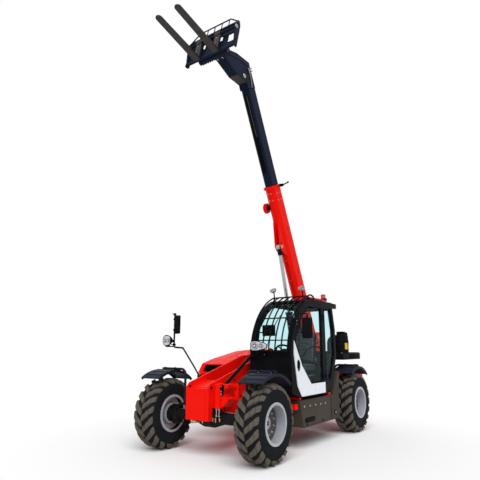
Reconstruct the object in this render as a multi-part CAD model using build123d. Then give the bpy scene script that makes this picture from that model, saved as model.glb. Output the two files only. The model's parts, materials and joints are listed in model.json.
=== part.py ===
"""Telescopic handler with a raised two-section boom and a fork carriage.

Millimetres. X points forward, Y to the machine's left, Z up. The origin is on the ground,
midway between the axles on the centre plane.
"""
import os
from math import acos, atan2, cos, degrees, hypot, radians, sin, sqrt, tan

from build123d import *

os.makedirs("parts", exist_ok=True)

# ---------------------------------------------------------------- driving dimensions
WHEELBASE = 3150.0
TRACK = 1910.0                  # between the wheels' centre planes
RUNNING_GAP = 5.0               # least gap between pieces that move past each other
PIN_GAP = 0.05                  # radial clearance of a pin in its bore
CUT = 1.0                       # how far a cutting tool runs past a face

# wheels
TYRE_RADIUS = 535.0
TYRE_WIDTH = 385.0
TYRE_SHOULDER = 85.0            # radius between tread and sidewall
RIM_SEAT_RADIUS = 256.0
RIM_FLANGE_RADIUS = 283.0
RIM_FLANGE_WIDTH = 26.0
RIM_WALL = 10.0
RIM_WIDTH = 376.0
DISC_OFFSET = -60.0             # wheel disc, outboard of the wheel's centre plane
DISC_THICKNESS = 16.0
HUB_DRUM_RADIUS = 150.0
HUB_CAP_RADIUS = 105.0
HUB_CAP_REACH = 105.0           # planetary cap, outboard of the disc
SPINDLE_RADIUS = 45.0

# steering and axles
KINGPIN_OFFSET = 240.0          # kingpin, inboard of the wheel's centre plane
KINGPIN_RADIUS = 25.0
KNUCKLE_RADIUS = 62.0
KNUCKLE_HALF_HEIGHT = 84.0
EAR_RADIUS = 60.0
EAR_LOW = 90.0                  # axle yoke ear, above and below the axle's centre
EAR_HIGH = 130.0
AXLE_TUBE_RADIUS = 78.0
DIFF_RADIUS = 140.0
DIFF_HALF_WIDTH = 90.0
AXLE_PAD_TOP = 155.0            # frame seats on pads this far above the axle's centre

# fenders, one on each steering knuckle
FENDER_RADIUS = 650.0           # inner radius
FENDER_THICKNESS = 16.0
FENDER_WIDTH = 390.0
FENDER_FRONT_ANGLE = 34.0       # forward of the top
FENDER_REAR_ANGLE = 40.0        # behind the top
FENDER_LIP = 26.0
FENDER_RIDGES = (-33.0, -22.0, -11.0, 3.0, 14.0, 25.0)   # degrees forward of the top
FENDER_TUBE_RADIUS = 20.0
FENDER_TUBE_BACKSET = 75.0      # tube, behind the axle
FENDER_TUBE_INSET = 355.0       # tube's leg, inboard of the wheel's centre plane
FENDER_TUBE_REACH = 150.0       # tube's end, outboard of the wheel's centre plane

# frame
BOOM_Y = -80.0                  # boom's centre plane
FRAME_HALF_WIDTH = 220.0        # to the outer face of each side plate
FRAME_PLATE = 25.0
NOSE_REACH = 240.0              # nose, ahead of the front axle
NOSE_X = WHEELBASE / 2 + NOSE_REACH
NOSE_BOTTOM_Z = 510.0
NOSE_TOP_Z = 1035.0
FRAME_SLOPE = 0.26              # fall of the side plates' top edge towards the nose
FRAME_SHELF_Z = 1415.0          # top edge where the slope ends
FRAME_BOTTOM_Z = 430.0
REAR_REACH = 725.0              # rear wall, behind the rear axle
FRAME_REAR_X = -WHEELBASE / 2 - REAR_REACH
BALLAST_DEPTH = 320.0           # counterweight, behind the rear wall
REAR_LAMP_DEPTH = 20.0
LEVELLER_BACKSET = 125.0        # levelling cylinder's axis, behind the nose
CRADLE_LENGTH = 190.0           # its cradle, behind that axis
STAY_BACKSET = 115.0            # foot of the cab's stay, behind the nose
TOWER_RADIUS = 135.0
HITCH_REACH = 55.0              # tow pin's bore, behind the counterweight
HITCH_BORE_RADIUS = 16.0

# boom, in its own frame: X along the boom from the pivot, Z up when it is level
PIVOT_X = -1911.0
PIVOT_Z = 1750.0
LIFT_ANGLE = 64.3
PIVOT_PIN_RADIUS = 40.0
OUTER_LENGTH = 3410.0           # pivot to collar face
OUTER_TAIL = 150.0              # behind the pivot
OUTER_WIDTH = 220.0
OUTER_HEIGHT = 310.0
OUTER_WALL = 8.0
OUTER_CHAMFER = 60.0
COLLAR_LENGTH = 60.0
COLLAR_RIM = 20.0
INNER_START = 1900.0
INNER_END = 5400.0
INNER_WIDTH = 180.0
INNER_HEIGHT = 272.0
INNER_WALL = 8.0
INNER_CHAMFER = 36.0

# boom head (gooseneck) and fork pivot, in the boom's frame
HEAD_WIDTH = 200.0
HEAD_PLATE = 20.0
HEAD_TOP_X = 5914.0
FORK_PIVOT_X = 6100.0
FORK_PIVOT_Z = -860.0
FORK_PIN_RADIUS = 30.0
HEAD_BOSS_RADIUS = 72.0

# fork carriage, in its own frame: origin on the fork pivot, X along the blades
FORK_ANGLE = 13.4               # blades' rise above level
CARRIAGE_FACE_X = 168.0         # rear face of the forks
CARRIAGE_SHIFT = 50.0           # side shift of the carriage, to the left of the boom's plane
CARRIAGE_HALF_WIDTH = 540.0
CARRIAGE_BACK_X = 124.0         # rear face of the carriage plate
CARRIAGE_FRONT_X = 162.0        # front face of its rails
CARRIAGE_BOTTOM_Z = -285.0
CARRIAGE_TOP_Z = 295.0          # top of the upper rail
CARRIAGE_PLATE_TOP_Z = 215.0
GUARD_RAIL_TOP_Z = 445.0        # load guard's top rail
GUARD_RAIL_HALF_WIDTH = 355.0
COUPLER_HALF_WIDTH = 310.0      # deep box under the fork pivot
COUPLER_BACK_X = -10.0
COUPLER_TOP_Z = -120.0
COUPLER_BOTTOM_Z = -268.0
SHAFT_RADIUS = 24.0
SHAFT_Z = 120.0
FORK_LEFT_Y = 200.0             # fork centres, from the boom's plane
FORK_RIGHT_Y = -225.0
FORK_LENGTH = 1070.0
FORK_WIDTH = 122.0
FORK_THICKNESS = 42.0
FORK_TIP_THICKNESS = 12.0
FORK_UNDERSIDE_Z = -285.0

# lift cylinder, base on the frame and eye under the outer boom
LIFT_BASE_X = -1400.0
LIFT_BASE_Z = 950.0
LIFT_EYE_ALONG = 2170.0
LIFT_EYE_DOWN = 305.0
LIFT_BARREL_RADIUS = 72.0
LIFT_BORE_RADIUS = 58.0
LIFT_ROD_RADIUS = 37.5
LIFT_BARREL_LENGTH = 1360.0     # base pin to gland face
LIFT_ROD_LENGTH = 1465.0        # eye pin to the rod's inner end
LIFT_PIN_RADIUS = 30.0
LIFT_EYE_RADIUS = 62.0
LIFT_EYE_WIDTH = 80.0

# tilt cylinder, base in the head and eye on the carriage
TILT_BASE_X = 5640.0
TILT_BASE_Z = -180.0
TILT_LEVER = 180.0
TILT_LEVER_ANGLE = 75.0         # from the blades' direction
TILT_BARREL_RADIUS = 45.0
TILT_BORE_RADIUS = 36.0
TILT_ROD_RADIUS = 22.0
TILT_BARREL_LENGTH = 500.0
TILT_ROD_LENGTH = 600.0
TILT_PIN_RADIUS = 20.0
TILT_EYE_RADIUS = 42.0
TILT_EYE_WIDTH = 60.0

# cab
CAB_RIGHT_Y = 250.0
CAB_LEFT_Y = 1020.0
CAB_WALL = 45.0
CAB_FRONT_X = 888.0
CAB_ARC_X = -138.0              # centre of the windscreen's arc
CAB_ARC_Z = 1390.0
CAB_ARC_END = 71.7              # degrees above level where the roof begins
CAB_ARC_RADIUS = CAB_FRONT_X - CAB_ARC_X
CAB_FLOOR_Z = 790.0
CAB_ROOF_Z = CAB_ARC_Z + CAB_ARC_RADIUS * sin(radians(CAB_ARC_END))
CAB_REAR_X = -800.0
SCREEN_BASE_Z = 1500.0
PILLAR = 60.0                   # width of the pillars seen from the front
GLASS = 6.0
B_POST_X = -280.0
DOOR_THICKNESS = 40.0
DOOR_GAP = 6.0
DOOR_HINGE_X = -285.0
DOOR_HINGE_Y = 1040.0
PANEL_THICKNESS = 12.0

# roof and windscreen guard
GUARD_BARS = 9
GUARD_OFFSET = 40.0             # from the windscreen to the bars
GUARD_DEPTH = 24.0
GUARD_BAR_WIDTH = 18.0
GUARD_START = 5.5               # degrees above level
GUARD_END = 74.0
GUARD_RAIL_ANGLES = (5.5, 36.0, 73.0)
GUARD_EDGE = 45.0               # from each cab side to the outermost bar

# engine bay on the right side
BAY_CLEARANCE = 30.0            # from the frame's outer face
BAY_INNER_Y = BOOM_Y - FRAME_HALF_WIDTH - BAY_CLEARANCE
BAY_OUTER_Y = -1015.0
BAY_FRONT_X = 700.0
BAY_REAR_X = -880.0
BAY_BOTTOM_Z = 460.0
BAY_TOP_Z = 1096.0
BAY_WALL = 20.0
HOOD_GAP = 6.0
HOOD_WALL = 22.0
HOOD_HINGE_INSET = 8.0           # from the bay's inner wall
HOOD_HINGE_Y = BAY_INNER_Y - HOOD_HINGE_INSET
HOOD_HINGE_Z = 1530.0
HOOD_KNUCKLE_RADIUS = 14.0
HOOD_HINGES = (-760.0, -480.0)  # rear end of each hinge
HINGE_KNUCKLE = 40.0            # length of one knuckle

# left side tank and step panel
SIDE_CLEARANCE = 25.0           # from the frame's outer face
SIDE_INNER_Y = BOOM_Y + FRAME_HALF_WIDTH + SIDE_CLEARANCE
SIDE_OUTER_Y = 1015.0

BOOM_PLACE = Pos(PIVOT_X, BOOM_Y, PIVOT_Z) * Rot(0, -LIFT_ANGLE, 0)


# ---------------------------------------------------------------- helpers
def boom_point(along, up):
    """World (x, z) of a point given in the boom's frame."""
    angle = radians(LIFT_ANGLE)
    return (PIVOT_X + along * cos(angle) - up * sin(angle),
            PIVOT_Z + along * sin(angle) + up * cos(angle))


def closed_line(points, radius):
    """Closed outline, with every corner rounded if a radius is given."""
    if radius:
        return FilletPolyline(*points, radius=radius, close=True)
    return Polyline(*points, close=True)


def slab_x(points, low, high, radius=0.0):
    """Prism between two x planes over a (y, z) outline."""
    face = make_face(closed_line([(low, y, z) for y, z in points], radius))
    return extrude(face, amount=high - low, dir=(1, 0, 0))


def slab_y(points, low, high, radius=0.0):
    """Prism between two y planes over an (x, z) outline."""
    face = make_face(closed_line([(x, low, z) for x, z in points], radius))
    return extrude(face, amount=high - low, dir=(0, 1, 0))


def slab_z(points, low, high, radius=0.0):
    """Prism between two z planes over an (x, y) outline."""
    face = make_face(closed_line([(x, y, low) for x, y in points], radius))
    return extrude(face, amount=high - low, dir=(0, 0, 1))


def box(x_low, x_high, y_low, y_high, z_low, z_high):
    """Box between its corner planes."""
    return Pos((x_low + x_high) / 2, (y_low + y_high) / 2, (z_low + z_high) / 2) * Box(
        x_high - x_low, y_high - y_low, z_high - z_low)


def bar_x(y, z, radius, low, high):
    """Round bar along x."""
    return Pos((low + high) / 2, y, z) * Rot(0, 90, 0) * Cylinder(radius, high - low)


def bar_y(x, z, radius, low, high):
    """Round bar along y."""
    return Pos(x, (low + high) / 2, z) * Rot(90, 0, 0) * Cylinder(radius, high - low)


def bar_z(x, y, radius, low, high):
    """Round bar along z."""
    return Pos(x, y, (low + high) / 2) * Cylinder(radius, high - low)


def bent_tube(points, bend, radius):
    """Round tube along straight runs joined by arcs."""
    path = FilletPolyline(*points, radius=bend) if bend else Polyline(*points)
    section = Plane(origin=path @ 0, z_dir=path % 0) * Circle(radius)
    return sweep(section, path=path)


def turned_y(profile):
    """Solid of revolution about the y axis from (radius, y) points."""
    face = make_face(Polyline(*profile, close=True))
    return revolve(face, Axis.Y)


def fuse(first, *others):
    """One part from pieces that meet."""
    for other in others:
        first = first + other
    return first


def group(*parts):
    """Separate solids of one node."""
    return Compound(children=[piece for part in parts for piece in part.solids()])


def mirrored(shape):
    """The same shape on the machine's other side."""
    return mirror(shape, Plane.XZ)


# ---------------------------------------------------------------- wheels
def tyre():
    """Tyre about the y axis; its bead seats on the rim."""
    half = TYRE_WIDTH / 2
    flange_in = RIM_WIDTH / 2 - RIM_FLANGE_WIDTH
    crown_half = half - TYRE_SHOULDER
    shoulder_z = TYRE_RADIUS - TYRE_SHOULDER
    flange = RIM_FLANGE_RADIUS + 1.5
    lines = [
        Line((RIM_SEAT_RADIUS, -flange_in), (flange, -flange_in)),
        Line((flange, -flange_in), (flange, -half)),
        Line((flange, -half), (shoulder_z, -half)),
        RadiusArc((shoulder_z, -half), (TYRE_RADIUS, -crown_half), -TYRE_SHOULDER),
        Line((TYRE_RADIUS, -crown_half), (TYRE_RADIUS, crown_half)),
        RadiusArc((TYRE_RADIUS, crown_half), (shoulder_z, half), -TYRE_SHOULDER),
        Line((shoulder_z, half), (flange, half)),
        Line((flange, half), (flange, flange_in)),
        Line((flange, flange_in), (RIM_SEAT_RADIUS, flange_in)),
        Line((RIM_SEAT_RADIUS, flange_in), (RIM_SEAT_RADIUS, -flange_in)),
    ]
    return revolve(make_face(lines), Axis.Y)


def rim():
    """Deep-dish rim with its disc and the wheel hub, outboard towards +y."""
    half = RIM_WIDTH / 2
    seat = half - RIM_FLANGE_WIDTH
    inner = RIM_SEAT_RADIUS - RIM_WALL
    barrel = turned_y([
        (inner, -half), (RIM_FLANGE_RADIUS, -half), (RIM_FLANGE_RADIUS, -seat - 12),
        (RIM_SEAT_RADIUS, -seat), (RIM_SEAT_RADIUS, seat), (RIM_FLANGE_RADIUS, seat + 12),
        (RIM_FLANGE_RADIUS, half), (inner, half)])
    disc_in = DISC_OFFSET - DISC_THICKNESS
    hub_in = -KINGPIN_OFFSET + KNUCKLE_RADIUS + 28
    bore = SPINDLE_RADIUS + PIN_GAP
    bore_end = DISC_OFFSET + 40
    hub = turned_y([
        (bore, hub_in), (HUB_DRUM_RADIUS, hub_in), (HUB_DRUM_RADIUS, disc_in),
        (inner + 2, disc_in - 40), (inner + 2, disc_in - 20), (HUB_DRUM_RADIUS + 40, DISC_OFFSET),
        (HUB_CAP_RADIUS, DISC_OFFSET), (HUB_CAP_RADIUS - 8, DISC_OFFSET + HUB_CAP_REACH - 14),
        (HUB_CAP_RADIUS - 30, DISC_OFFSET + HUB_CAP_REACH), (0, DISC_OFFSET + HUB_CAP_REACH),
        (0, bore_end), (bore, bore_end)])
    return barrel + hub


def knuckle():
    """Steering knuckle about its kingpin, outboard towards +y."""
    core = bar_z(0, 0, KNUCKLE_RADIUS, -KNUCKLE_HALF_HEIGHT, KNUCKLE_HALF_HEIGHT)
    plate_low = EAR_HIGH + RUNNING_GAP
    pins = bar_z(0, 0, KINGPIN_RADIUS, -EAR_HIGH, plate_low + 5)
    hub_face = KNUCKLE_RADIUS + 28 - RUNNING_GAP
    neck = bar_y(0, 0, 75, 0, hub_face)
    flange = bar_y(0, 0, HUB_DRUM_RADIUS - 25, EAR_RADIUS + RUNNING_GAP, hub_face)
    spindle_end = KINGPIN_OFFSET + DISC_OFFSET + 30
    spindle = bar_y(0, 0, SPINDLE_RADIUS, 0, spindle_end)
    leg_y = KINGPIN_OFFSET - FENDER_TUBE_INSET
    arm = slab_z([(45, -45), (45, 45), (-45, 45),
                  (-FENDER_TUBE_BACKSET - 35, leg_y + 20), (-FENDER_TUBE_BACKSET - 35, leg_y - 30),
                  (-FENDER_TUBE_BACKSET + 35, leg_y - 30)],
                 plate_low, plate_low + 15, radius=12)
    return fuse(core, pins, neck, flange, spindle, arm)


def fender():
    """Fender over one wheel with its carrying tube, about the wheel's centre."""
    half = FENDER_WIDTH / 2
    outer = FENDER_RADIUS + FENDER_THICKNESS

    def sector(radius_low, radius_high, low, high):
        ring = bar_y(0, 0, radius_high, low, high) - bar_y(0, 0, radius_low, low - CUT, high + CUT)
        reach = 2 * radius_high
        front, rear = radians(FENDER_FRONT_ANGLE), radians(FENDER_REAR_ANGLE)
        wedge = slab_y([(0, 0), (-reach * sin(rear), reach * cos(rear)), (0, reach),
                        (reach * sin(front), reach * cos(front))], low - CUT, high + CUT)
        return ring & wedge

    shell = sector(FENDER_RADIUS, outer, -half, half)
    lips = [sector(FENDER_RADIUS - FENDER_LIP, FENDER_RADIUS + CUT, side * half - 7 - side * 7,
                   side * half + 7 - side * 7) for side in (-1, 1)]
    ridge = Pos(0, 0, outer + 1) * Box(34, FENDER_WIDTH - 44, 10)
    ridges = [Rot(0, angle, 0) * ridge for angle in FENDER_RIDGES]
    leg_y = -FENDER_TUBE_INSET
    tube_z = sqrt(outer ** 2 - FENDER_TUBE_BACKSET ** 2) + FENDER_TUBE_RADIUS - 3
    tube = bent_tube([(-FENDER_TUBE_BACKSET, leg_y, EAR_HIGH + RUNNING_GAP + 15),
                      (-FENDER_TUBE_BACKSET, leg_y, tube_z),
                      (-FENDER_TUBE_BACKSET, FENDER_TUBE_REACH, tube_z)], 90, FENDER_TUBE_RADIUS)
    return fuse(shell, *lips, *ridges, tube)


def axle(x):
    """Axle housing with its differential and a yoke at each end."""
    ear_out = TRACK / 2 - KINGPIN_OFFSET
    tube_end = ear_out - KNUCKLE_RADIUS - 12
    core = turned_y([(0, -tube_end), (AXLE_TUBE_RADIUS, -tube_end), (AXLE_TUBE_RADIUS + 8, -260),
                     (DIFF_RADIUS, -DIFF_HALF_WIDTH), (DIFF_RADIUS, DIFF_HALF_WIDTH),
                     (AXLE_TUBE_RADIUS + 8, 260), (AXLE_TUBE_RADIUS, tube_end), (0, tube_end)])
    part = core
    for side in (-1, 1):
        inner, outer = sorted((side * (tube_end - 25), side * tube_end))
        part += box(-EAR_RADIUS, EAR_RADIUS, inner, outer, -EAR_HIGH, EAR_HIGH)
        for low, high in ((-EAR_HIGH, -EAR_LOW), (EAR_LOW, EAR_HIGH)):
            near, far = sorted((side * (tube_end - 5), side * ear_out))
            part += box(-EAR_RADIUS, EAR_RADIUS, near, far, low, high)
            part += bar_z(0, side * ear_out, EAR_RADIUS, low, high)
        part -= bar_z(0, side * ear_out, KINGPIN_RADIUS + PIN_GAP, -EAR_HIGH - CUT, EAR_HIGH + CUT)
        pad_y = BOOM_Y + side * (FRAME_HALF_WIDTH - FRAME_PLATE / 2)
        part += box(-70, 70, pad_y - 22, pad_y + 22, 0, AXLE_PAD_TOP)
    return Pos(x, 0, TYRE_RADIUS) * part


# ---------------------------------------------------------------- frame
def plate_top(x):
    """Top edge of the frame's side plates at x, ahead of the level shelf."""
    return NOSE_TOP_Z + (NOSE_X - x) * FRAME_SLOPE


def main_frame():
    """Welded frame: two side plates with the boom towers, cross plates and outriggers."""
    inner = FRAME_HALF_WIDTH - FRAME_PLATE
    front_axle, rear_axle = WHEELBASE / 2, -WHEELBASE / 2
    shelf_x = NOSE_X - (FRAME_SHELF_Z - NOSE_TOP_Z) / FRAME_SLOPE
    arch_z = TYRE_RADIUS + AXLE_PAD_TOP
    outline = [
        (NOSE_X, NOSE_BOTTOM_Z), (NOSE_X, NOSE_TOP_Z - 60), (NOSE_X - 60, NOSE_TOP_Z),
        (shelf_x, FRAME_SHELF_Z), (-1250, FRAME_SHELF_Z + 60),
        (PIVOT_X + TOWER_RADIUS, PIVOT_Z + 20), (PIVOT_X + 60, PIVOT_Z + TOWER_RADIUS - 10),
        (PIVOT_X - 60, PIVOT_Z + TOWER_RADIUS - 10), (PIVOT_X - TOWER_RADIUS, PIVOT_Z + 20),
        (FRAME_REAR_X, 1120), (FRAME_REAR_X, 520),
        (rear_axle - 165, 520), (rear_axle - 150, arch_z), (rear_axle + 150, arch_z),
        (rear_axle + 190, FRAME_BOTTOM_Z),
        (front_axle - 190, FRAME_BOTTOM_Z), (front_axle - 150, arch_z), (front_axle + 145, arch_z),
        (front_axle + 150, NOSE_BOTTOM_Z)]
    plates = [slab_y(outline, BOOM_Y + low, BOOM_Y + high)
              for low, high in ((-FRAME_HALF_WIDTH, -inner), (inner, FRAME_HALF_WIDTH))]
    y_low, y_high = BOOM_Y - inner - 2, BOOM_Y + inner + 2
    front = box(NOSE_X - FRAME_PLATE, NOSE_X, y_low, y_high, NOSE_BOTTOM_Z, NOSE_TOP_Z - 90)
    cover = slab_y([(NOSE_X - 10, NOSE_TOP_Z - 98), (NOSE_X - 10, NOSE_TOP_Z - 75),
                    (1380, NOSE_TOP_Z + 20), (1380, NOSE_TOP_Z)], y_low, y_high)
    belly = box(rear_axle + 200, front_axle - 200, y_low, y_high,
                FRAME_BOTTOM_Z + 10, FRAME_BOTTOM_Z + 30)
    nose_floor = box(front_axle + 155, NOSE_X - 5, y_low, y_high,
                     NOSE_BOTTOM_Z + 5, NOSE_BOTTOM_Z + 20)
    rear_wall = box(FRAME_REAR_X, FRAME_REAR_X + 20, y_low, y_high, 525, 1100)
    pivot = bar_y(PIVOT_X, PIVOT_Z, PIVOT_PIN_RADIUS, BOOM_Y - FRAME_HALF_WIDTH - 25,
                  BOOM_Y + FRAME_HALF_WIDTH + 25)
    lift_pin = bar_y(LIFT_BASE_X, LIFT_BASE_Z, LIFT_PIN_RADIUS, y_low, y_high)
    mounts = [box(x - 55, x + 55, y_low, y_high, arch_z, arch_z + 40)
              for x in (front_axle, rear_axle)]
    outriggers = [
        box(655, 745, BOOM_Y + inner, 985, 620, 700),
        box(-560, -470, BOOM_Y + inner, 985, 748, 786),
        box(540, 600, BOOM_Y + inner, 985, 748, 786),
    ]
    leveller_x = NOSE_X - LEVELLER_BACKSET
    cradle_x = leveller_x - CRADLE_LENGTH
    cradle = slab_x([(BOOM_Y + inner, 700), (300, 700), (400, 790), (400, 1030),
                     (BOOM_Y + inner, 1030)], cradle_x, leveller_x, radius=20)
    cradle -= bar_x(400, 900, 78, cradle_x - CUT, leveller_x + CUT)
    leveller = bar_z(leveller_x, 225, 58, 690, 1030) + bar_z(leveller_x, 225, 66, 690, 712)
    leveller += box(leveller_x - 90, leveller_x, 180, 270, 700, 1020)
    rods = [bar_z(leveller_x + 10, y, 9, 560, 700) for y in (200, 250)]
    hook = slab_x([(400, 800), (470, 800), (470, 1030), (390, 1030), (390, 985), (435, 985),
                   (435, 930), (400, 930)], cradle_x, cradle_x + FRAME_PLATE)
    brackets = [box(x + HINGE_KNUCKLE + 2, x + 2 * HINGE_KNUCKLE, HOOD_HINGE_Y + 6,
                    BOOM_Y - inner, 1390, HOOD_HINGE_Z)
                + bar_x(HOOD_HINGE_Y, HOOD_HINGE_Z, HOOD_KNUCKLE_RADIUS,
                        x + HINGE_KNUCKLE + 2, x + 2 * HINGE_KNUCKLE) for x in HOOD_HINGES]
    stay = bent_tube([(NOSE_X - STAY_BACKSET, 285, 960), (960, 285, 1395), (CAB_FRONT_X, 285, 1395)], 60, 24)
    bay_arms = [box(x, x + 80, BAY_INNER_Y, BOOM_Y - inner, 480, 560)
                for x in (-700, 400)]
    frame = fuse(*plates, front, cover, belly, nose_floor, rear_wall, pivot, lift_pin, *mounts,
                 *outriggers, cradle, leveller, *rods, hook, stay, *bay_arms, *brackets)
    frame -= bar_y(NOSE_X - 62, NOSE_TOP_Z - 62, 19, BOOM_Y - 400, BOOM_Y + 260)
    seam_y = BOOM_Y + inner - 45
    frame -= box(NOSE_X - 5, NOSE_X + CUT, seam_y, seam_y + 6, NOSE_BOTTOM_Z + 22, NOSE_TOP_Z - 92)
    return frame


def counterweight():
    """Rear ballast with bevelled corners, seated against the frame's rear wall."""
    low_x, half = FRAME_REAR_X - BALLAST_DEPTH, 850.0
    block = slab_z([(FRAME_REAR_X, -half + 120), (FRAME_REAR_X, half - 120),
                    (FRAME_REAR_X - 60, half), (low_x + 90, half), (low_x, half - 130),
                    (low_x, -half + 130), (low_x + 90, -half), (FRAME_REAR_X - 60, -half)],
                   560, 1060, radius=25)
    hitch = box(low_x - HITCH_REACH - 45, low_x + 5, -60, 60, 640, 760)
    hitch -= box(low_x - HITCH_REACH - 45 - CUT, low_x - 15, -60 - CUT, 60 + CUT, 672, 728)
    hitch -= bar_z(low_x - HITCH_REACH, 0, HITCH_BORE_RADIUS, 640 - CUT, 760 + CUT)
    return block + hitch


def side_tank():
    """Left tank and step panel under the cab, swept up behind it."""
    panel = slab_y([(652, 745), (-600, 745), (-850, 1130), (-905, 1130), (-870, 900), (-850, 335),
                    (540, 335)], SIDE_INNER_Y, SIDE_OUTER_Y, radius=20)
    return panel


def engine_bay():
    """Open-topped tub on the right side that carries the engine."""
    outer = slab_y([(BAY_FRONT_X, BAY_TOP_Z), (BAY_REAR_X, BAY_TOP_Z), (BAY_REAR_X, BAY_BOTTOM_Z),
                    (BAY_FRONT_X - 130, BAY_BOTTOM_Z), (BAY_FRONT_X, BAY_BOTTOM_Z + 200)],
                   BAY_OUTER_Y, BAY_INNER_Y)
    cavity = slab_y([(BAY_FRONT_X - BAY_WALL, BAY_TOP_Z + CUT), (BAY_REAR_X + BAY_WALL, BAY_TOP_Z + CUT),
                     (BAY_REAR_X + BAY_WALL, BAY_BOTTOM_Z + BAY_WALL),
                     (BAY_FRONT_X - 138, BAY_BOTTOM_Z + BAY_WALL),
                     (BAY_FRONT_X - BAY_WALL, BAY_BOTTOM_Z + 208)],
                    BAY_OUTER_Y + BAY_WALL, BAY_INNER_Y - BAY_WALL)
    return outer - cavity


def engine_block():
    """Engine as one plain block on the tub's floor."""
    return box(-560, 240, BAY_OUTER_Y + 120, BAY_INNER_Y - 110, BAY_BOTTOM_Z + BAY_WALL, 1180)


def engine_hood():
    """Hood over the engine bay, hinged beside the boom."""
    low = BAY_TOP_Z + HOOD_GAP
    front = BAY_FRONT_X
    outline = [(front, low), (front - 120, 1270), (225, 1362), (-360, 1486), (-820, 1514),
               (BAY_REAR_X, 1500), (BAY_REAR_X, low)]
    inset = [(front - 26, low - CUT), (front - 26, low + 4), (front - 136, 1270 - HOOD_WALL),
             (220, 1362 - HOOD_WALL), (-362, 1486 - HOOD_WALL), (-820, 1514 - HOOD_WALL),
             (BAY_REAR_X + HOOD_WALL, 1500 - HOOD_WALL), (BAY_REAR_X + HOOD_WALL, low - CUT)]
    shell = slab_y(outline, BAY_OUTER_Y, BAY_INNER_Y - 16)
    shell -= slab_y(inset, BAY_OUTER_Y + HOOD_WALL, BAY_INNER_Y + CUT)
    bevel = slab_x([(BAY_OUTER_Y - CUT, 1700), (BAY_OUTER_Y - CUT, 1330), (BAY_OUTER_Y + 240, 1700)],
                   BAY_REAR_X - CUT, front + CUT)
    shell -= bevel
    intake = slab_x([(-930, 1128), (-430, 1128), (-430, 1250), (-930, 1250)], 500, front + 60,
                    radius=35)
    shell -= intake
    for i in range(6):
        x = -780 + i * 70
        shell -= slab_y([(x, 1170), (x + 26, 1170), (x + 66, 1290), (x + 40, 1290)],
                        BAY_OUTER_Y - CUT, BAY_OUTER_Y + HOOD_WALL + CUT)
    for x in HOOD_HINGES:
        leaf_top = HOOD_HINGE_Z - 4
        shell += bar_x(HOOD_HINGE_Y, HOOD_HINGE_Z, HOOD_KNUCKLE_RADIUS, x, x + HINGE_KNUCKLE)
        shell += box(x, x + HINGE_KNUCKLE, HOOD_HINGE_Y - 40, HOOD_HINGE_Y - 6, 1475, leaf_top)
    return shell


# ---------------------------------------------------------------- cab
def arc_point(radius, angle):
    """Point of the windscreen's arc family, degrees above level."""
    return (CAB_ARC_X + radius * cos(radians(angle)), CAB_ARC_Z + radius * sin(radians(angle)))


def cab_profile(y, inset):
    """Cab side outline at y, shrunk by inset, as a face."""
    radius = CAB_ARC_RADIUS - inset
    start, middle, end = (arc_point(radius, angle) for angle in (1.2, 36.0, CAB_ARC_END))
    points = [
        end, (CAB_REAR_X + 105 + inset, CAB_ROOF_Z - inset),
        (CAB_REAR_X + inset, 1870), (CAB_REAR_X + inset, 1400 + inset / 2),
        (-560 + inset / 2, 858 + inset), (B_POST_X, CAB_FLOOR_Z + inset),
        (640 - inset / 2, CAB_FLOOR_Z + inset), (CAB_FRONT_X - inset, 880 + inset), start]
    rest = Polyline(*[(x, y, z) for x, z in points])
    front = ThreePointArc(*[(x, y, z) for x, z in (start, middle, end)])
    return make_face([*rest.edges(), front])


def door_outline(grow):
    """Door edge as (x, z) points, grown by grow all round."""
    arc = [arc_point(CAB_ARC_RADIUS - PILLAR + grow, angle) for angle in (3, 18, 33, 48, 62)]
    return [(B_POST_X - grow, CAB_FLOOR_Z + 8 - grow), (600 + grow, CAB_FLOOR_Z + 8 - grow),
            (735 + grow, 960 - grow), *arc, (255, CAB_ROOF_Z - 75 + grow),
            (B_POST_X - grow, CAB_ROOF_Z - 75 + grow)]


def door_window(grow):
    """Glazed area of the door, grown by grow."""
    arc = [arc_point(CAB_ARC_RADIUS - PILLAR - 50 + grow, angle) for angle in (16, 32, 48, 60)]
    return [(B_POST_X + 55 - grow, 995 - grow), (265 + grow / 2, 995 - grow), (560 + grow, 1290),
            *arc, (255, CAB_ROOF_Z - 130 + grow), (B_POST_X + 55 - grow, CAB_ROOF_Z - 130 + grow)]


QUARTER_WINDOW = [(B_POST_X - 75, 1010), (-520, 1010), (CAB_REAR_X + 80, 1420),
                  (CAB_REAR_X + 80, 1870), (CAB_REAR_X + 150, 2240), (B_POST_X - 75, 2250)]
RIGHT_WINDOW = [(560, 1500), (700, 1600), (640, 1860), (400, 2120), (200, 2250),
                (CAB_REAR_X + 150, 2240), (CAB_REAR_X + 80, 1870), (CAB_REAR_X + 80, 1500)]


def screen_cut(inset, low_z):
    """Region of the windscreen's opening, as an (x, z) outline."""
    return [(CAB_FRONT_X + 200, low_z), (CAB_FRONT_X - 300, low_z), (340, 2100 - inset),
            (250 + inset, 2235), (330 + inset, 2600), (CAB_FRONT_X + 200, 2600)]


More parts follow.
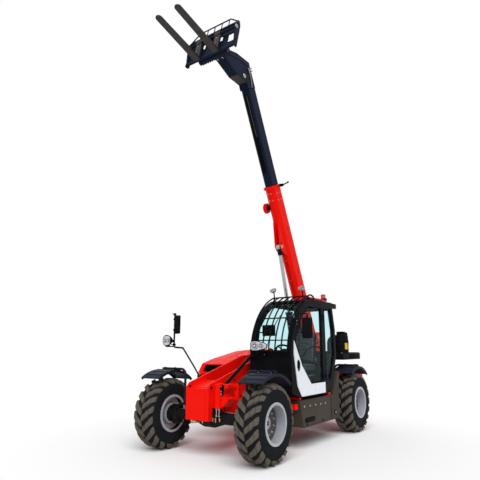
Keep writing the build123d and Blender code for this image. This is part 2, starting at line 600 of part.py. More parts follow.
def cab_shell():
    """Cab structure: floor, roof, pillars and walls, with the windows and doorway cut."""
    outer = extrude(cab_profile(CAB_RIGHT_Y, 0), amount=CAB_LEFT_Y - CAB_RIGHT_Y, dir=(0, 1, 0))
    inner = extrude(cab_profile(CAB_RIGHT_Y + CAB_WALL, CAB_WALL),
                    amount=CAB_LEFT_Y - CAB_RIGHT_Y - 2 * CAB_WALL, dir=(0, 1, 0))
    wall_in = CAB_LEFT_Y - CAB_WALL - CUT
    shell = outer - inner
    shell -= slab_y(door_outline(DOOR_GAP), wall_in, CAB_LEFT_Y + CUT)
    shell -= slab_y(QUARTER_WINDOW, wall_in, CAB_LEFT_Y + CUT, radius=30)
    shell -= slab_y(RIGHT_WINDOW, CAB_RIGHT_Y - CUT, CAB_RIGHT_Y + CAB_WALL + CUT, radius=30)
    shell -= slab_y(screen_cut(0, SCREEN_BASE_Z), CAB_RIGHT_Y + PILLAR, CAB_LEFT_Y - PILLAR)
    shell -= box(CAB_REAR_X - 100, CAB_REAR_X + 200, CAB_RIGHT_Y + 80, CAB_LEFT_Y - 80, 1480, 2230)
    eaves = slab_y([(CAB_REAR_X + 110, CAB_ROOF_Z), (CAB_REAR_X + 90, 2290),
                    (CAB_REAR_X - 150, 2270), (CAB_REAR_X - 150, CAB_ROOF_Z - 8)],
                   CAB_RIGHT_Y + 20, CAB_LEFT_Y - 20)
    return shell + eaves


def cab_glass():
    """Fixed panes: windscreen, rear, right side and left quarter."""
    mid = CAB_WALL / 2
    radius = CAB_ARC_RADIUS - mid
    low, high = CAB_RIGHT_Y + PILLAR, CAB_LEFT_Y - PILLAR
    ring = bar_y(CAB_ARC_X, CAB_ARC_Z, radius + GLASS / 2, low, high)
    ring -= bar_y(CAB_ARC_X, CAB_ARC_Z, radius - GLASS / 2, low - CUT, high + CUT)
    screen = ring & slab_y(screen_cut(0, SCREEN_BASE_Z), low - CUT, high + CUT)
    quarter = slab_y(QUARTER_WINDOW, CAB_LEFT_Y - mid - GLASS / 2, CAB_LEFT_Y - mid + GLASS / 2,
                     radius=30)
    right = slab_y(RIGHT_WINDOW, CAB_RIGHT_Y + mid - GLASS / 2, CAB_RIGHT_Y + mid + GLASS / 2,
                   radius=30)
    slope = 105 / (CAB_ROOF_Z - 1870)
    rear_x = CAB_REAR_X + mid
    rear = slab_y([(rear_x, 1480), (rear_x + GLASS, 1480), (rear_x + GLASS, 1870),
                   (rear_x + GLASS + slope * 360, 2230), (rear_x + slope * 360, 2230),
                   (rear_x, 1870)], CAB_RIGHT_Y + 80, CAB_LEFT_Y - 80)
    return group(screen, quarter, right, rear)


def cab_door():
    """Door frame with its window opening and outer handle."""
    low, high = CAB_LEFT_Y - DOOR_THICKNESS, CAB_LEFT_Y
    frame = slab_y(door_outline(0), low, high)
    frame -= slab_y(door_window(0), low - CUT, high + CUT)
    hinges = [bar_z(DOOR_HINGE_X, DOOR_HINGE_Y, 14, z - 40, z + 40)
              + box(B_POST_X, B_POST_X + 55, CAB_LEFT_Y - 5, DOOR_HINGE_Y, z - 30, z + 30)
              for z in (1080, 2080)]
    return fuse(frame, *hinges)


def door_panel():
    """Swept outer panel below and ahead of the door's window."""
    arc_low = arc_point(CAB_ARC_RADIUS - PILLAR - 8, 4)
    outline = [(B_POST_X + 8, CAB_FLOOR_Z + 16), (594, CAB_FLOOR_Z + 16), (722, 966), arc_low,
               (806, 1660), (560, 1270), (262, 978), (B_POST_X + 8, 978)]
    return slab_y(outline, CAB_LEFT_Y, CAB_LEFT_Y + PANEL_THICKNESS)


def door_glass():
    """Pane of the door."""
    mid = CAB_LEFT_Y - DOOR_THICKNESS / 2
    return slab_y(door_window(0), mid - GLASS / 2, mid + GLASS / 2)


def guard_grille():
    """Curved bars over the windscreen and the roof's front edge, with their cross rails."""
    low_radius = CAB_ARC_RADIUS + GUARD_OFFSET
    high_radius = low_radius + GUARD_DEPTH
    first, last = CAB_RIGHT_Y + GUARD_EDGE, CAB_LEFT_Y - GUARD_EDGE
    pitch = (last - first) / (GUARD_BARS - 1)
    middle_angle = (GUARD_START + GUARD_END) / 2
    corners = {}
    for name, radius in (("low", low_radius), ("high", high_radius)):
        corners[name] = [arc_point(radius, a) for a in (GUARD_START, middle_angle, GUARD_END)]

    def bar(y):
        at = y - GUARD_BAR_WIDTH / 2
        inner = [(x, at, z) for x, z in corners["low"]]
        outer = [(x, at, z) for x, z in corners["high"]]
        face = make_face([ThreePointArc(*inner), Line(inner[-1], outer[-1]),
                          ThreePointArc(*reversed(outer)), Line(outer[0], inner[0])])
        return extrude(face, amount=GUARD_BAR_WIDTH, dir=(0, 1, 0))

    rail_radius = (low_radius + high_radius) / 2
    half = GUARD_BAR_WIDTH / 2
    rails, feet = [], []
    for angle in GUARD_RAIL_ANGLES:
        x, z = arc_point(rail_radius, angle)
        rails.append(bar_y(x, z, GUARD_DEPTH / 2 + 1, first - half, last + half))
        foot_x, foot_z = arc_point(CAB_ARC_RADIUS, angle)
        for y in (first, last):
            feet.append(bent_tube([(foot_x, y, foot_z), (x, y, z)], 0, 9))
    bars = [bar(first + i * pitch) for i in range(GUARD_BARS)]
    return fuse(rails[0], *rails[1:], *bars, *feet)


def seat():
    """Operator's seat on its box."""
    y = (CAB_RIGHT_Y + CAB_LEFT_Y) / 2
    floor = CAB_FLOOR_Z + CAB_WALL
    base = box(-270, 60, y - 170, y + 170, floor, floor + 330)
    cushion = box(-330, 180, y - 240, y + 240, floor + 325, floor + 435)
    back = slab_y([(-330, floor + 400), (-220, floor + 400), (-320, floor + 1020),
                   (-400, floor + 1010)], y - 220, y + 220, radius=20)
    return fuse(base, cushion, back)


def steering_column():
    """Front console with the steering column and wheel."""
    y = (CAB_RIGHT_Y + CAB_LEFT_Y) / 2
    floor = CAB_FLOOR_Z + CAB_WALL
    console = slab_y([(610, floor), (480, floor), (480, floor + 420), (430, floor + 520),
                      (520, floor + 590), (830, floor + 560), (830, floor + 100)],
                     y - 150, y + 150, radius=20)
    top = (360, floor + 640)
    column = bent_tube([(480, y, floor + 500), (top[0], y, top[1])], 0, 30)
    wheel = Torus(185, 16) + Cylinder(40, 40) + Box(360, 26, 14) + Box(26, 360, 14)
    tilt = degrees(atan2(480 - top[0], top[1] - (floor + 500)))
    return fuse(console, column, Pos(top[0], y, top[1]) * Rot(0, -tilt, 0) * wheel)


# ---------------------------------------------------------------- lamps and mirrors
def mirrors():
    """Rear-view mirror heads with their arms: left on the cab, right on the bay."""
    arm_x, arm_z = arc_point(CAB_ARC_RADIUS - 27, 34)
    left_arm = bent_tube([(arm_x, CAB_LEFT_Y, arm_z), (arm_x, 1075, arm_z), (865, 1150, 2070),
                          (865, 1300, 2070), (865, 1300, 1700)], 24, 11)
    left = box(850, 900, 1215, 1385, 1690, 2010)
    right_arm = bent_tube([(BAY_FRONT_X + 18, BAY_OUTER_Y + 45, 1060),
                           (BAY_FRONT_X + 90, -1040, 1230), (970, -1150, 1548),
                           (1150, -1200, 1560), (1150, -1200, 2160)], 40, 16)
    foot = box(BAY_FRONT_X, BAY_FRONT_X + 36, BAY_OUTER_Y + 10, BAY_OUTER_Y + 80, 1020, 1085)
    right = box(1120, 1175, -1195, -1075, 1790, 2120)
    return group(left_arm + left, fuse(right_arm, foot, right))


def lamp_body(x, y, z, radius, depth):
    """Round lamp that faces forward, with a straight bezel."""
    cone = Pos(x + depth / 2, y, z) * Rot(0, 90, 0) * Cone(radius * 0.62, radius, depth)
    return cone + bar_x(y, z, radius, x + depth - 1, x + depth + 25)


def lamps():
    """Headlamps, roof work lamps, beacon on its rail and rear light clusters."""
    left_y = CAB_RIGHT_Y + 257
    left_arm = box(CAB_FRONT_X, 1040, left_y - 15, left_y + 15, 1425, 1465)
    left_post = box(1005, 1040, left_y - 15, left_y + 15, 1425, 1600)
    left = fuse(lamp_body(1005, left_y, 1600, 92, 90), left_arm, left_post)
    right_arm = box(1166, 1232, -1215, -1185, 1640, 1690)
    right = lamp_body(1225, -1200, 1670, 92, 90) + right_arm
    roof = [bar_z(140, y, 12, CAB_ROOF_Z, 2490) + lamp_body(120, y, 2520, 68, 90)
            for y in (CAB_RIGHT_Y + 85, CAB_LEFT_Y - 85)]
    rail = box(-870, -20, 800, 850, CAB_ROOF_Z + 15, CAB_ROOF_Z + 45)
    feet = [box(x, x + 40, 805, 845, CAB_ROOF_Z, CAB_ROOF_Z + 18) for x in (-680, -60)]
    beacon = fuse(rail, *feet, bar_z(-770, 825, 48, CAB_ROOF_Z + 44, CAB_ROOF_Z + 150))
    back = FRAME_REAR_X - BALLAST_DEPTH
    rear = [box(back - REAR_LAMP_DEPTH, back, side * 615 - 85, side * 615 + 85, 900, 980)
            for side in (-1, 1)]
    return group(left, right, *roof, beacon, *rear)


def air_cleaner():
    """Intake canister and its shelf behind the cab, on the left tower."""
    canister = bar_z(-1400, 880, 140, 1435, 1800) + bar_z(-1400, 880, 90, 1795, 1860)
    shelf = box(-2200, -1180, BOOM_Y + FRAME_HALF_WIDTH, 1000, 1345, 1440)
    return canister + shelf


# ---------------------------------------------------------------- boom
def box_section(width, height, chamfer, x_low, x_high):
    """Boom section with its two lower edges chamfered, along x."""
    w, h = width / 2, height / 2
    return slab_x([(-w, h), (w, h), (w, -h + chamfer), (w - chamfer, -h), (-w + chamfer, -h),
                   (-w, -h + chamfer)], x_low, x_high)


def boom_outer():
    """Outer boom: hollow section, pivot boss, collar and the lift cylinder's bracket."""
    shell = box_section(OUTER_WIDTH, OUTER_HEIGHT, OUTER_CHAMFER, -OUTER_TAIL, OUTER_LENGTH)
    collar = box_section(OUTER_WIDTH + 2 * COLLAR_RIM, OUTER_HEIGHT + 2 * COLLAR_RIM,
                         OUTER_CHAMFER, OUTER_LENGTH - COLLAR_LENGTH, OUTER_LENGTH)
    cavity = box_section(OUTER_WIDTH - 2 * OUTER_WALL, OUTER_HEIGHT - 2 * OUTER_WALL,
                         OUTER_CHAMFER - OUTER_WALL / 2, 110, OUTER_LENGTH + CUT)
    boss = bar_y(0, 0, 85, -FRAME_HALF_WIDTH + FRAME_PLATE + 6, FRAME_HALF_WIDTH - FRAME_PLATE - 6)
    pin = bar_y(0, 0, PIVOT_PIN_RADIUS + PIN_GAP, -FRAME_HALF_WIDTH, FRAME_HALF_WIDTH)
    ear_gap = LIFT_EYE_WIDTH / 2 + RUNNING_GAP
    bottom = -OUTER_HEIGHT / 2
    ear_outline = [(LIFT_EYE_ALONG - 260, bottom + 2), (LIFT_EYE_ALONG + 560, bottom + 2),
                   (LIFT_EYE_ALONG + 480, bottom - 50), (LIFT_EYE_ALONG + 90, -LIFT_EYE_DOWN - 40),
                   (LIFT_EYE_ALONG + 20, -LIFT_EYE_DOWN - 65), (LIFT_EYE_ALONG - 60, -LIFT_EYE_DOWN - 40)]
    ears = [slab_y(ear_outline, low, high)
            for low, high in ((-ear_gap - 18, -ear_gap), (ear_gap, ear_gap + 18))]
    part = fuse(shell, collar, boss) - cavity - pin
    return BOOM_PLACE * fuse(part, *ears)


def boom_inner():
    """Inner boom: hollow section that slides in the outer one."""
    tube = box_section(INNER_WIDTH, INNER_HEIGHT, INNER_CHAMFER, INNER_START, INNER_END)
    tube -= box_section(INNER_WIDTH - 2 * INNER_WALL, INNER_HEIGHT - 2 * INNER_WALL,
                        INNER_CHAMFER - INNER_WALL / 2, INNER_START - CUT, INNER_END + CUT)
    return BOOM_PLACE * tube


def boom_head():
    """Gooseneck of two cheeks with a back plate, open at the front for the tilt cylinder."""
    half = HEAD_WIDTH / 2
    top, bottom = INNER_HEIGHT / 2, -INNER_HEIGHT / 2
    px, pz = FORK_PIVOT_X, FORK_PIVOT_Z
    outline = [(INNER_END, top), (HEAD_TOP_X, top), (6080, -260), (px + 62, pz + 60),
               (px + HEAD_BOSS_RADIUS, pz), (px + 40, pz - 60), (px - 40, pz - 60),
               (5960, -720), (5660, -430), (INNER_END + 120, bottom), (INNER_END, bottom)]
    cavity = [(INNER_END + HEAD_PLATE, top - HEAD_PLATE), (HEAD_TOP_X + 20, top - HEAD_PLATE),
              (6300, -260), (6300, pz - 200), (px - 60, pz - 200), (5975, -690),
              (5680, -410), (INNER_END + 130, bottom + HEAD_PLATE),
              (INNER_END + HEAD_PLATE, bottom + HEAD_PLATE)]
    part = slab_y(outline, -half, half)
    part -= slab_y(cavity, -half + HEAD_PLATE, half - HEAD_PLATE)
    part += bar_y(px, pz, HEAD_BOSS_RADIUS, -half, -half + HEAD_PLATE)
    part += bar_y(px, pz, HEAD_BOSS_RADIUS, half - HEAD_PLATE, half)
    part -= bar_y(px, pz, FORK_PIN_RADIUS + PIN_GAP, -half - CUT, half + CUT)
    part += bar_y(TILT_BASE_X, TILT_BASE_Z, TILT_PIN_RADIUS, -half + 5, half - 5)
    return BOOM_PLACE * part


# ---------------------------------------------------------------- fork carriage
FORK_PIVOT = boom_point(FORK_PIVOT_X, FORK_PIVOT_Z)
CARRIAGE_PLACE = Pos(FORK_PIVOT[0], BOOM_Y, FORK_PIVOT[1]) * Rot(0, -FORK_ANGLE, 0)


def fork_carriage():
    """Carriage with its coupler box, pivot ears, end plates, hanging shaft and load guard."""
    half, back, front = CARRIAGE_HALF_WIDTH, CARRIAGE_BACK_X, CARRIAGE_FRONT_X
    top, bottom, plate_top = CARRIAGE_TOP_Z, CARRIAGE_BOTTOM_Z, CARRIAGE_PLATE_TOP_Z
    shaft_x = CARRIAGE_FACE_X + FORK_THICKNESS / 2
    mid, low_y, high_y = CARRIAGE_SHIFT, CARRIAGE_SHIFT - half, CARRIAGE_SHIFT + half
    rails = [box(back, front, low_y, high_y, top - 40, top),
             box(back, front, low_y, high_y, bottom + 10, bottom + 70)]
    plate = slab_x([(low_y, plate_top), (high_y, plate_top), (high_y, bottom + 70),
                    (high_y - 220, -190), (low_y + 220, -190), (low_y, bottom + 70)], back, back + 12)
    for side in (-1, 1):
        small, large = mid + side * 185, mid + side * 420
        plate -= box(back - CUT, back + 12 + CUT, small - 42, small + 42, -10, 95)
        plate -= box(back - CUT, back + 12 + CUT, large - 65, large + 65, -120, 60)
    notch = TILT_EYE_WIDTH / 2 + 8
    plate -= box(back - CUT, back + 12 + CUT, -notch, notch, 130, plate_top + CUT)
    foot = slab_x([(low_y + 12, -120), (low_y + 12, bottom), (low_y - 40, bottom),
                   (low_y - 12, -120)], back - 30, 160)
    ribs = [box(back, back + 14, mid + y - 9, mid + y + 9, bottom + 20, top - 5)
            for y in (-300, 0, 300)]
    ends = [slab_y([(back - 34, bottom), (165, bottom), (shaft_x + 28, 80), (shaft_x + 28, 165),
                    (front, top), (back, top), (back - 34, plate_top)], y - 12, y + 12)
            for y in (low_y, high_y)]
    guard_x, guard_z = front - 2, GUARD_RAIL_TOP_Z - 12
    bars = [bent_tube([(guard_x, mid + side * (half - 8), top - 12),
                       (guard_x, mid + side * GUARD_RAIL_HALF_WIDTH, guard_z),
                       (guard_x, mid, guard_z)], 30, 12)
            for side in (-1, 1)]
    uprights = [bar_z(guard_x, mid + i * 165, 9, top - 12, guard_z) for i in (-2, -1, 0, 1, 2)]
    coupler = slab_y([(COUPLER_BACK_X, COUPLER_TOP_Z), (back + 4, COUPLER_TOP_Z), (back + 4, -200),
                      (back - 40, COUPLER_BOTTOM_Z), (COUPLER_BACK_X + 30, COUPLER_BOTTOM_Z),
                      (COUPLER_BACK_X, COUPLER_BOTTOM_Z + 50)],
                     mid - COUPLER_HALF_WIDTH, mid + COUPLER_HALF_WIDTH, radius=18)
    ear_in = HEAD_WIDTH / 2 + RUNNING_GAP
    ears = [slab_y([(-40, -62), (COUPLER_BACK_X + 10, -180), (back + 5, -200), (back + 5, 200),
                    (40, 72), (-40, 62), (-72, 0)], low, high)
            for low, high in ((-ear_in - 25, -ear_in), (ear_in, ear_in + 25))]
    pin = bar_y(0, 0, FORK_PIN_RADIUS, -ear_in - 40, ear_in + 40)
    shaft = bar_y(shaft_x, SHAFT_Z, SHAFT_RADIUS, low_y, high_y)
    hanger = box(back, shaft_x + 10, mid - 12, mid + 12, SHAFT_Z - 35, SHAFT_Z + 35)
    lever_x = TILT_LEVER * cos(radians(TILT_LEVER_ANGLE))
    lever_z = TILT_LEVER * sin(radians(TILT_LEVER_ANGLE))
    ear_gap = TILT_EYE_WIDTH / 2 + RUNNING_GAP
    levers = [slab_y([(lever_x - 32, lever_z + 34), (lever_x + 32, lever_z + 34), (back + 5, 190),
                      (back + 5, 20), (back - 25, 20), (lever_x - 32, lever_z - 30)], low, high)
              for low, high in ((-ear_gap - 15, -ear_gap), (ear_gap, ear_gap + 15))]
    return CARRIAGE_PLACE * fuse(plate, foot, *rails, *ribs, *ends, *bars, *uprights, coupler, *ears, pin,
                                 shaft, hanger, *levers)


def fork(y):
    """Pallet fork hung on the carriage's shaft."""
    half = FORK_WIDTH / 2
    x, low = CARRIAGE_FACE_X, FORK_UNDERSIDE_Z
    blade = slab_y([(x, low), (x + FORK_LENGTH, low), (x + FORK_LENGTH, low + FORK_TIP_THICKNESS),
                    (x + 260, low + FORK_THICKNESS), (x + FORK_THICKNESS, low + FORK_THICKNESS + 12),
                    (x + FORK_THICKNESS, SHAFT_Z), (x, SHAFT_Z)], -half, half)
    eye_x = x + FORK_THICKNESS / 2
    part = blade + bar_y(eye_x, SHAFT_Z, SHAFT_RADIUS + 22, -half, half)
    part -= bar_y(eye_x, SHAFT_Z, SHAFT_RADIUS + PIN_GAP, -half - CUT, half + CUT)
    tip_x = x + FORK_LENGTH - half
    corner = box(tip_x, tip_x + half + CUT, -half - CUT, half + CUT, low - CUT, low + 80)
    part -= corner - bar_z(tip_x, 0, half, low - 2 * CUT, low + 90)
    return CARRIAGE_PLACE * Pos(0, y, 0) * part


# ---------------------------------------------------------------- cylinders
def cylinder_barrel(radius, bore, rod_radius, length, pin_radius, eye_radius, eye_width):
    """Hydraulic barrel along x from its base pin, with a gland at the mouth."""
    cap = eye_radius + 18
    tube = bar_x(0, 0, radius, cap - 8, length)
    tube -= bar_x(0, 0, bore, cap + 10, length - 40)
    tube -= bar_x(0, 0, rod_radius + PIN_GAP, length - 41, length + CUT)
    eye = bar_y(0, 0, eye_radius, -eye_width / 2, eye_width / 2)
    neck = box(0, cap, -eye_width / 2 + 6, eye_width / 2 - 6, -eye_radius * 0.7, eye_radius * 0.7)
    collar = bar_x(0, 0, radius + 6, length - 36, length - 2) - bar_x(0, 0, radius - 4, length - 40, length)
    part = fuse(tube, eye, neck, collar)
    return part - bar_y(0, 0, pin_radius + PIN_GAP, -eye_width, eye_width)


def cylinder_rod(eye_at, rod_radius, length, pin_radius, eye_radius, eye_width):
    """Piston rod along x that ends in its eye at eye_at, with a stub pin in the eye."""
    shaft = bar_x(0, 0, rod_radius, eye_at - length, eye_at - eye_radius * 0.6)
    eye = bar_y(eye_at, 0, eye_radius, -eye_width / 2, eye_width / 2)
    return shaft + eye


def line_place(base, eye):
    """Placement of a local x axis that runs from base to eye, both world (x, z)."""
    rise = degrees(atan2(eye[1] - base[1], eye[0] - base[0]))
    return Pos(base[0], BOOM_Y, base[1]) * Rot(0, -rise, 0)


LIFT_BASE = (LIFT_BASE_X, LIFT_BASE_Z)
LIFT_EYE = boom_point(LIFT_EYE_ALONG, -LIFT_EYE_DOWN)
TILT_BASE = boom_point(TILT_BASE_X, TILT_BASE_Z)
TILT_EYE = (FORK_PIVOT[0] + TILT_LEVER * cos(radians(TILT_LEVER_ANGLE + FORK_ANGLE)),
            FORK_PIVOT[1] + TILT_LEVER * sin(radians(TILT_LEVER_ANGLE + FORK_ANGLE)))


def lift_barrel():
    """Barrel of the lift cylinder."""
    return line_place(LIFT_BASE, LIFT_EYE) * cylinder_barrel(
        LIFT_BARREL_RADIUS, LIFT_BORE_RADIUS, LIFT_ROD_RADIUS, LIFT_BARREL_LENGTH,
        LIFT_PIN_RADIUS, LIFT_EYE_RADIUS, LIFT_EYE_WIDTH)


def lift_rod():
    """Rod of the lift cylinder."""
    reach = hypot(LIFT_EYE[0] - LIFT_BASE[0], LIFT_EYE[1] - LIFT_BASE[1])
    return line_place(LIFT_BASE, LIFT_EYE) * cylinder_rod(
        reach, LIFT_ROD_RADIUS, LIFT_ROD_LENGTH, LIFT_PIN_RADIUS, LIFT_EYE_RADIUS, LIFT_EYE_WIDTH)


def tilt_barrel():
    """Barrel of the tilt cylinder."""
    return line_place(TILT_BASE, TILT_EYE) * cylinder_barrel(
        TILT_BARREL_RADIUS, TILT_BORE_RADIUS, TILT_ROD_RADIUS, TILT_BARREL_LENGTH,
        TILT_PIN_RADIUS, TILT_EYE_RADIUS, TILT_EYE_WIDTH)


def tilt_rod():
    """Rod of the tilt cylinder."""
    reach = hypot(TILT_EYE[0] - TILT_BASE[0], TILT_EYE[1] - TILT_BASE[1])
    return line_place(TILT_BASE, TILT_EYE) * cylinder_rod(
        reach, TILT_ROD_RADIUS, TILT_ROD_LENGTH, TILT_PIN_RADIUS, TILT_EYE_RADIUS, TILT_EYE_WIDTH)


# ---------------------------------------------------------------- assembly
nodes = {
    "main_frame": main_frame(),
    "front_axle": axle(WHEELBASE / 2),
    "rear_axle": axle(-WHEELBASE / 2),
    "counterweight": counterweight(),
    "side_tank": side_tank(),
    "engine_bay": engine_bay(),
    "engine_block": engine_block(),
    "engine_hood": engine_hood(),
    "cab_shell": cab_shell(),
    "cab_glass": cab_glass(),
    "cab_door": cab_door(),
    "door_panel": door_panel(),
    "door_glass": door_glass(),
    "guard_grille": guard_grille(),
    "seat": seat(),
    "steering_column": steering_column(),
    "mirrors": mirrors(),
    "lamps": lamps(),
    "air_cleaner": air_cleaner(),
    "boom_outer": boom_outer(),
    "boom_inner": boom_inner(),
    "boom_head": boom_head(),
    "fork_carriage": fork_carriage(),
    "fork_left": fork(FORK_LEFT_Y),
    "fork_right": fork(FORK_RIGHT_Y),
    "lift_barrel": lift_barrel(),
    "lift_rod": lift_rod(),
    "tilt_barrel": tilt_barrel(),
    "tilt_rod": tilt_rod(),
}

# wheel stations: name, axle x, side (+1 left, -1 right)
STATIONS = (
    ("front_left", WHEELBASE / 2, 1),
    ("front_right", WHEELBASE / 2, -1),
    ("rear_left", -WHEELBASE / 2, 1),
    ("rear_right", -WHEELBASE / 2, -1),
)
wheel_pieces = {"tyre": (tyre(), TRACK / 2), "rim": (rim(), TRACK / 2),
                "knuckle": (knuckle(), TRACK / 2 - KINGPIN_OFFSET), "fender": (fender(), TRACK / 2)}
for station, axle_x, side in STATIONS:
    for piece, (shape, offset) in wheel_pieces.items():
        placed = Pos(axle_x, offset, TYRE_RADIUS) * shape
        nodes[f"{piece}_{station}"] = placed if side > 0 else mirrored(placed)

for node, shape in nodes.items():
    export_step(shape, f"parts/{node}.step")
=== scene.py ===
import json
from math import atan2, cos, pi, radians, sin, tan

import bmesh
import bpy
from mathutils import Matrix, Vector, noise


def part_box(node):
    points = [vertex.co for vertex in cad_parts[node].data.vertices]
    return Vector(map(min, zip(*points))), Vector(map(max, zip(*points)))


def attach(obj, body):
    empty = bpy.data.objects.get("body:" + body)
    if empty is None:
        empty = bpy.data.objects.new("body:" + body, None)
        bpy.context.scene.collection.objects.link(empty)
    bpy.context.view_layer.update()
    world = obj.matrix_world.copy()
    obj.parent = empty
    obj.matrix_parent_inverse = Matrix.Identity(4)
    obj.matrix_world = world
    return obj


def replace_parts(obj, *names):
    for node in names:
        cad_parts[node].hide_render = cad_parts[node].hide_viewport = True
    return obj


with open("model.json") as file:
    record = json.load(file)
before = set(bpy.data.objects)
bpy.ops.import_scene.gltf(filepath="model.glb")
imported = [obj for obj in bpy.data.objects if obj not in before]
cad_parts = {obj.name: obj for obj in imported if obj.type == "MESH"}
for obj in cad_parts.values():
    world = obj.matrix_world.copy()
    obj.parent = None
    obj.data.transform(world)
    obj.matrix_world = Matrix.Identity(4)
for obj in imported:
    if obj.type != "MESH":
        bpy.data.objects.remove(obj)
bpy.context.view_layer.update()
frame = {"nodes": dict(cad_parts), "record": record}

NODES = frame["nodes"]
STATION_NAMES = ("front_left", "front_right", "rear_left", "rear_right")


# ---------------------------------------------------------------- materials
class Shader:
    """One node material under construction, patterned in the row frame."""

    def __init__(self, name):
        self.material = bpy.data.materials.new(name)
        self.material.use_nodes = True
        self.tree = self.material.node_tree
        self.tree.nodes.clear()
        self.output = self.node("ShaderNodeOutputMaterial")
        self.place = self.node("ShaderNodeTexCoord").outputs["Object"]

    def node(self, kind, **values):
        made = self.tree.nodes.new(kind)
        for key, value in values.items():
            setattr(made, key, value)
        return made

    def feed(self, socket, value):
        if hasattr(value, "links"):
            self.tree.links.new(value, socket)
        elif isinstance(value, (tuple, list)) and len(value) == 3 and socket.type == "RGBA":
            socket.default_value = (*value, 1.0)
        else:
            socket.default_value = value

    def stretched(self, scale):
        mapping = self.node("ShaderNodeMapping")
        self.feed(mapping.inputs["Vector"], self.place)
        mapping.inputs["Scale"].default_value = scale
        return mapping.outputs[0]

    def noise(self, scale, detail=3.0, rough=0.55, stretch=None):
        made = self.node("ShaderNodeTexNoise")
        self.feed(made.inputs["Vector"], self.stretched(stretch) if stretch else self.place)
        made.inputs["Scale"].default_value = scale
        made.inputs["Detail"].default_value = detail
        made.inputs["Roughness"].default_value = rough
        return made.outputs["Fac"]

    def cells(self, scale, stretch=None):
        made = self.node("ShaderNodeTexVoronoi")
        self.feed(made.inputs["Vector"], self.stretched(stretch) if stretch else self.place)
        made.inputs["Scale"].default_value = scale
        return made.outputs["Distance"]

    def spread(self, value, low, high, to_low=0.0, to_high=1.0):
        made = self.node("ShaderNodeMapRange")
        for socket, number in zip(made.inputs, (value, low, high, to_low, to_high)):
            self.feed(socket, number)
        return made.outputs[0]

    def math(self, operation, a, b):
        made = self.node("ShaderNodeMath", operation=operation)
        self.feed(made.inputs[0], a)
        self.feed(made.inputs[1], b)
        return made.outputs[0]

    def mix(self, share, a, b):
        made = self.node("ShaderNodeMix", data_type="RGBA")
        self.feed(made.inputs[0], share)
        self.feed(made.inputs[6], a)
        self.feed(made.inputs[7], b)
        return made.outputs[2]

    def axis(self, index):
        parts = self.node("ShaderNodeSeparateXYZ")
        self.feed(parts.inputs[0], self.place)
        return parts.outputs[index]

    def facing_up(self):
        """1 where the surface looks up, 0 where it stands or hangs."""
        parts = self.node("ShaderNodeSeparateXYZ")
        self.feed(parts.inputs[0], self.node("ShaderNodeNewGeometry").outputs["Normal"])
        return self.spread(parts.outputs[2], 0.35, 0.95)

    def bump(self, height, strength, distance, soft_edge=0.0):
        made = self.node("ShaderNodeBump")
        made.inputs["Strength"].default_value = strength
        made.inputs["Distance"].default_value = distance
        self.feed(made.inputs["Height"], height)
        if soft_edge:
            edge = self.node("ShaderNodeBevel", samples=6)
            edge.inputs["Radius"].default_value = soft_edge
            self.feed(made.inputs["Normal"], edge.outputs[0])
        return made.outputs[0]

    def edges(self, radius):
        """1 on sharp outer edges, 0 on flat faces."""
        edge = self.node("ShaderNodeBevel", samples=6)
        edge.inputs["Radius"].default_value = radius
        made = self.node("ShaderNodeVectorMath", operation="DOT_PRODUCT")
        self.feed(made.inputs[0], edge.outputs[0])
        self.feed(made.inputs[1], self.node("ShaderNodeNewGeometry").outputs["Normal"])
        return self.spread(made.outputs["Value"], 0.97, 0.82)

    def principled(self, color, roughness, normal=None, **sockets):
        shader = self.node("ShaderNodeBsdfPrincipled")
        self.feed(shader.inputs["Base Color"], color)
        self.feed(shader.inputs["Roughness"], roughness)
        if normal is not None:
            self.feed(shader.inputs["Normal"], normal)
        for name, value in sockets.items():
            self.feed(shader.inputs[name.replace("_", " ")], value)
        self.tree.links.new(shader.outputs[0], self.output.inputs[0])
        return self.material


def painted(name, color, shade, gloss, grime, grime_top=1.3, coat=0.0, edge_wear_and_highlight=None,
            peel=0.05, level_dust=0.10, sheen=0.5):
    """Paint: cloudy tone, orange peel, soft edges, dust low down and on level faces, worn edges; on
    the dark paints the lighter edge colour is partly wear and partly a painted highlight.
    """
    s = Shader(name)
    cloud = s.spread(s.noise(1.7, 4.0), 0.35, 0.65)
    tone = s.mix(cloud, color, shade)
    speck = s.spread(s.noise(46.0, 5.0, 0.7), 0.52, 0.74)
    low = s.spread(s.axis(2), grime_top, 0.15)
    level = s.math("MULTIPLY", s.facing_up(), level_dust)
    amount = s.math("ADD", s.math("MULTIPLY", low, 0.40), level)
    dusty = s.math("MULTIPLY", amount, speck)
    tone = s.mix(dusty, tone, grime)
    # worn edges; where the edge colour is lighter than a dark paint it is also a painted highlight
    if edge_wear_and_highlight:
        patch = s.spread(s.noise(18.0, 4.0, 0.65), 0.50, 0.62)
        worn = s.math("MULTIPLY", s.edges(0.004), patch)
        tone = s.mix(s.math("MULTIPLY", worn, 0.75), tone, edge_wear_and_highlight)
    rough = s.spread(s.noise(9.0, 4.0, 0.6), 0.3, 0.7, gloss - 0.05, gloss + 0.09)
    rough = s.math("ADD", rough, s.math("MULTIPLY", dusty, 0.5))
    height = s.math("ADD", s.noise(240.0, 2.0), s.math("MULTIPLY", dusty, 1.5))
    return s.principled(tone, rough, s.bump(height, peel * 4, 0.0006, 0.004),
                        Coat_Weight=coat, Coat_Roughness=0.06, Specular_IOR_Level=sheen)


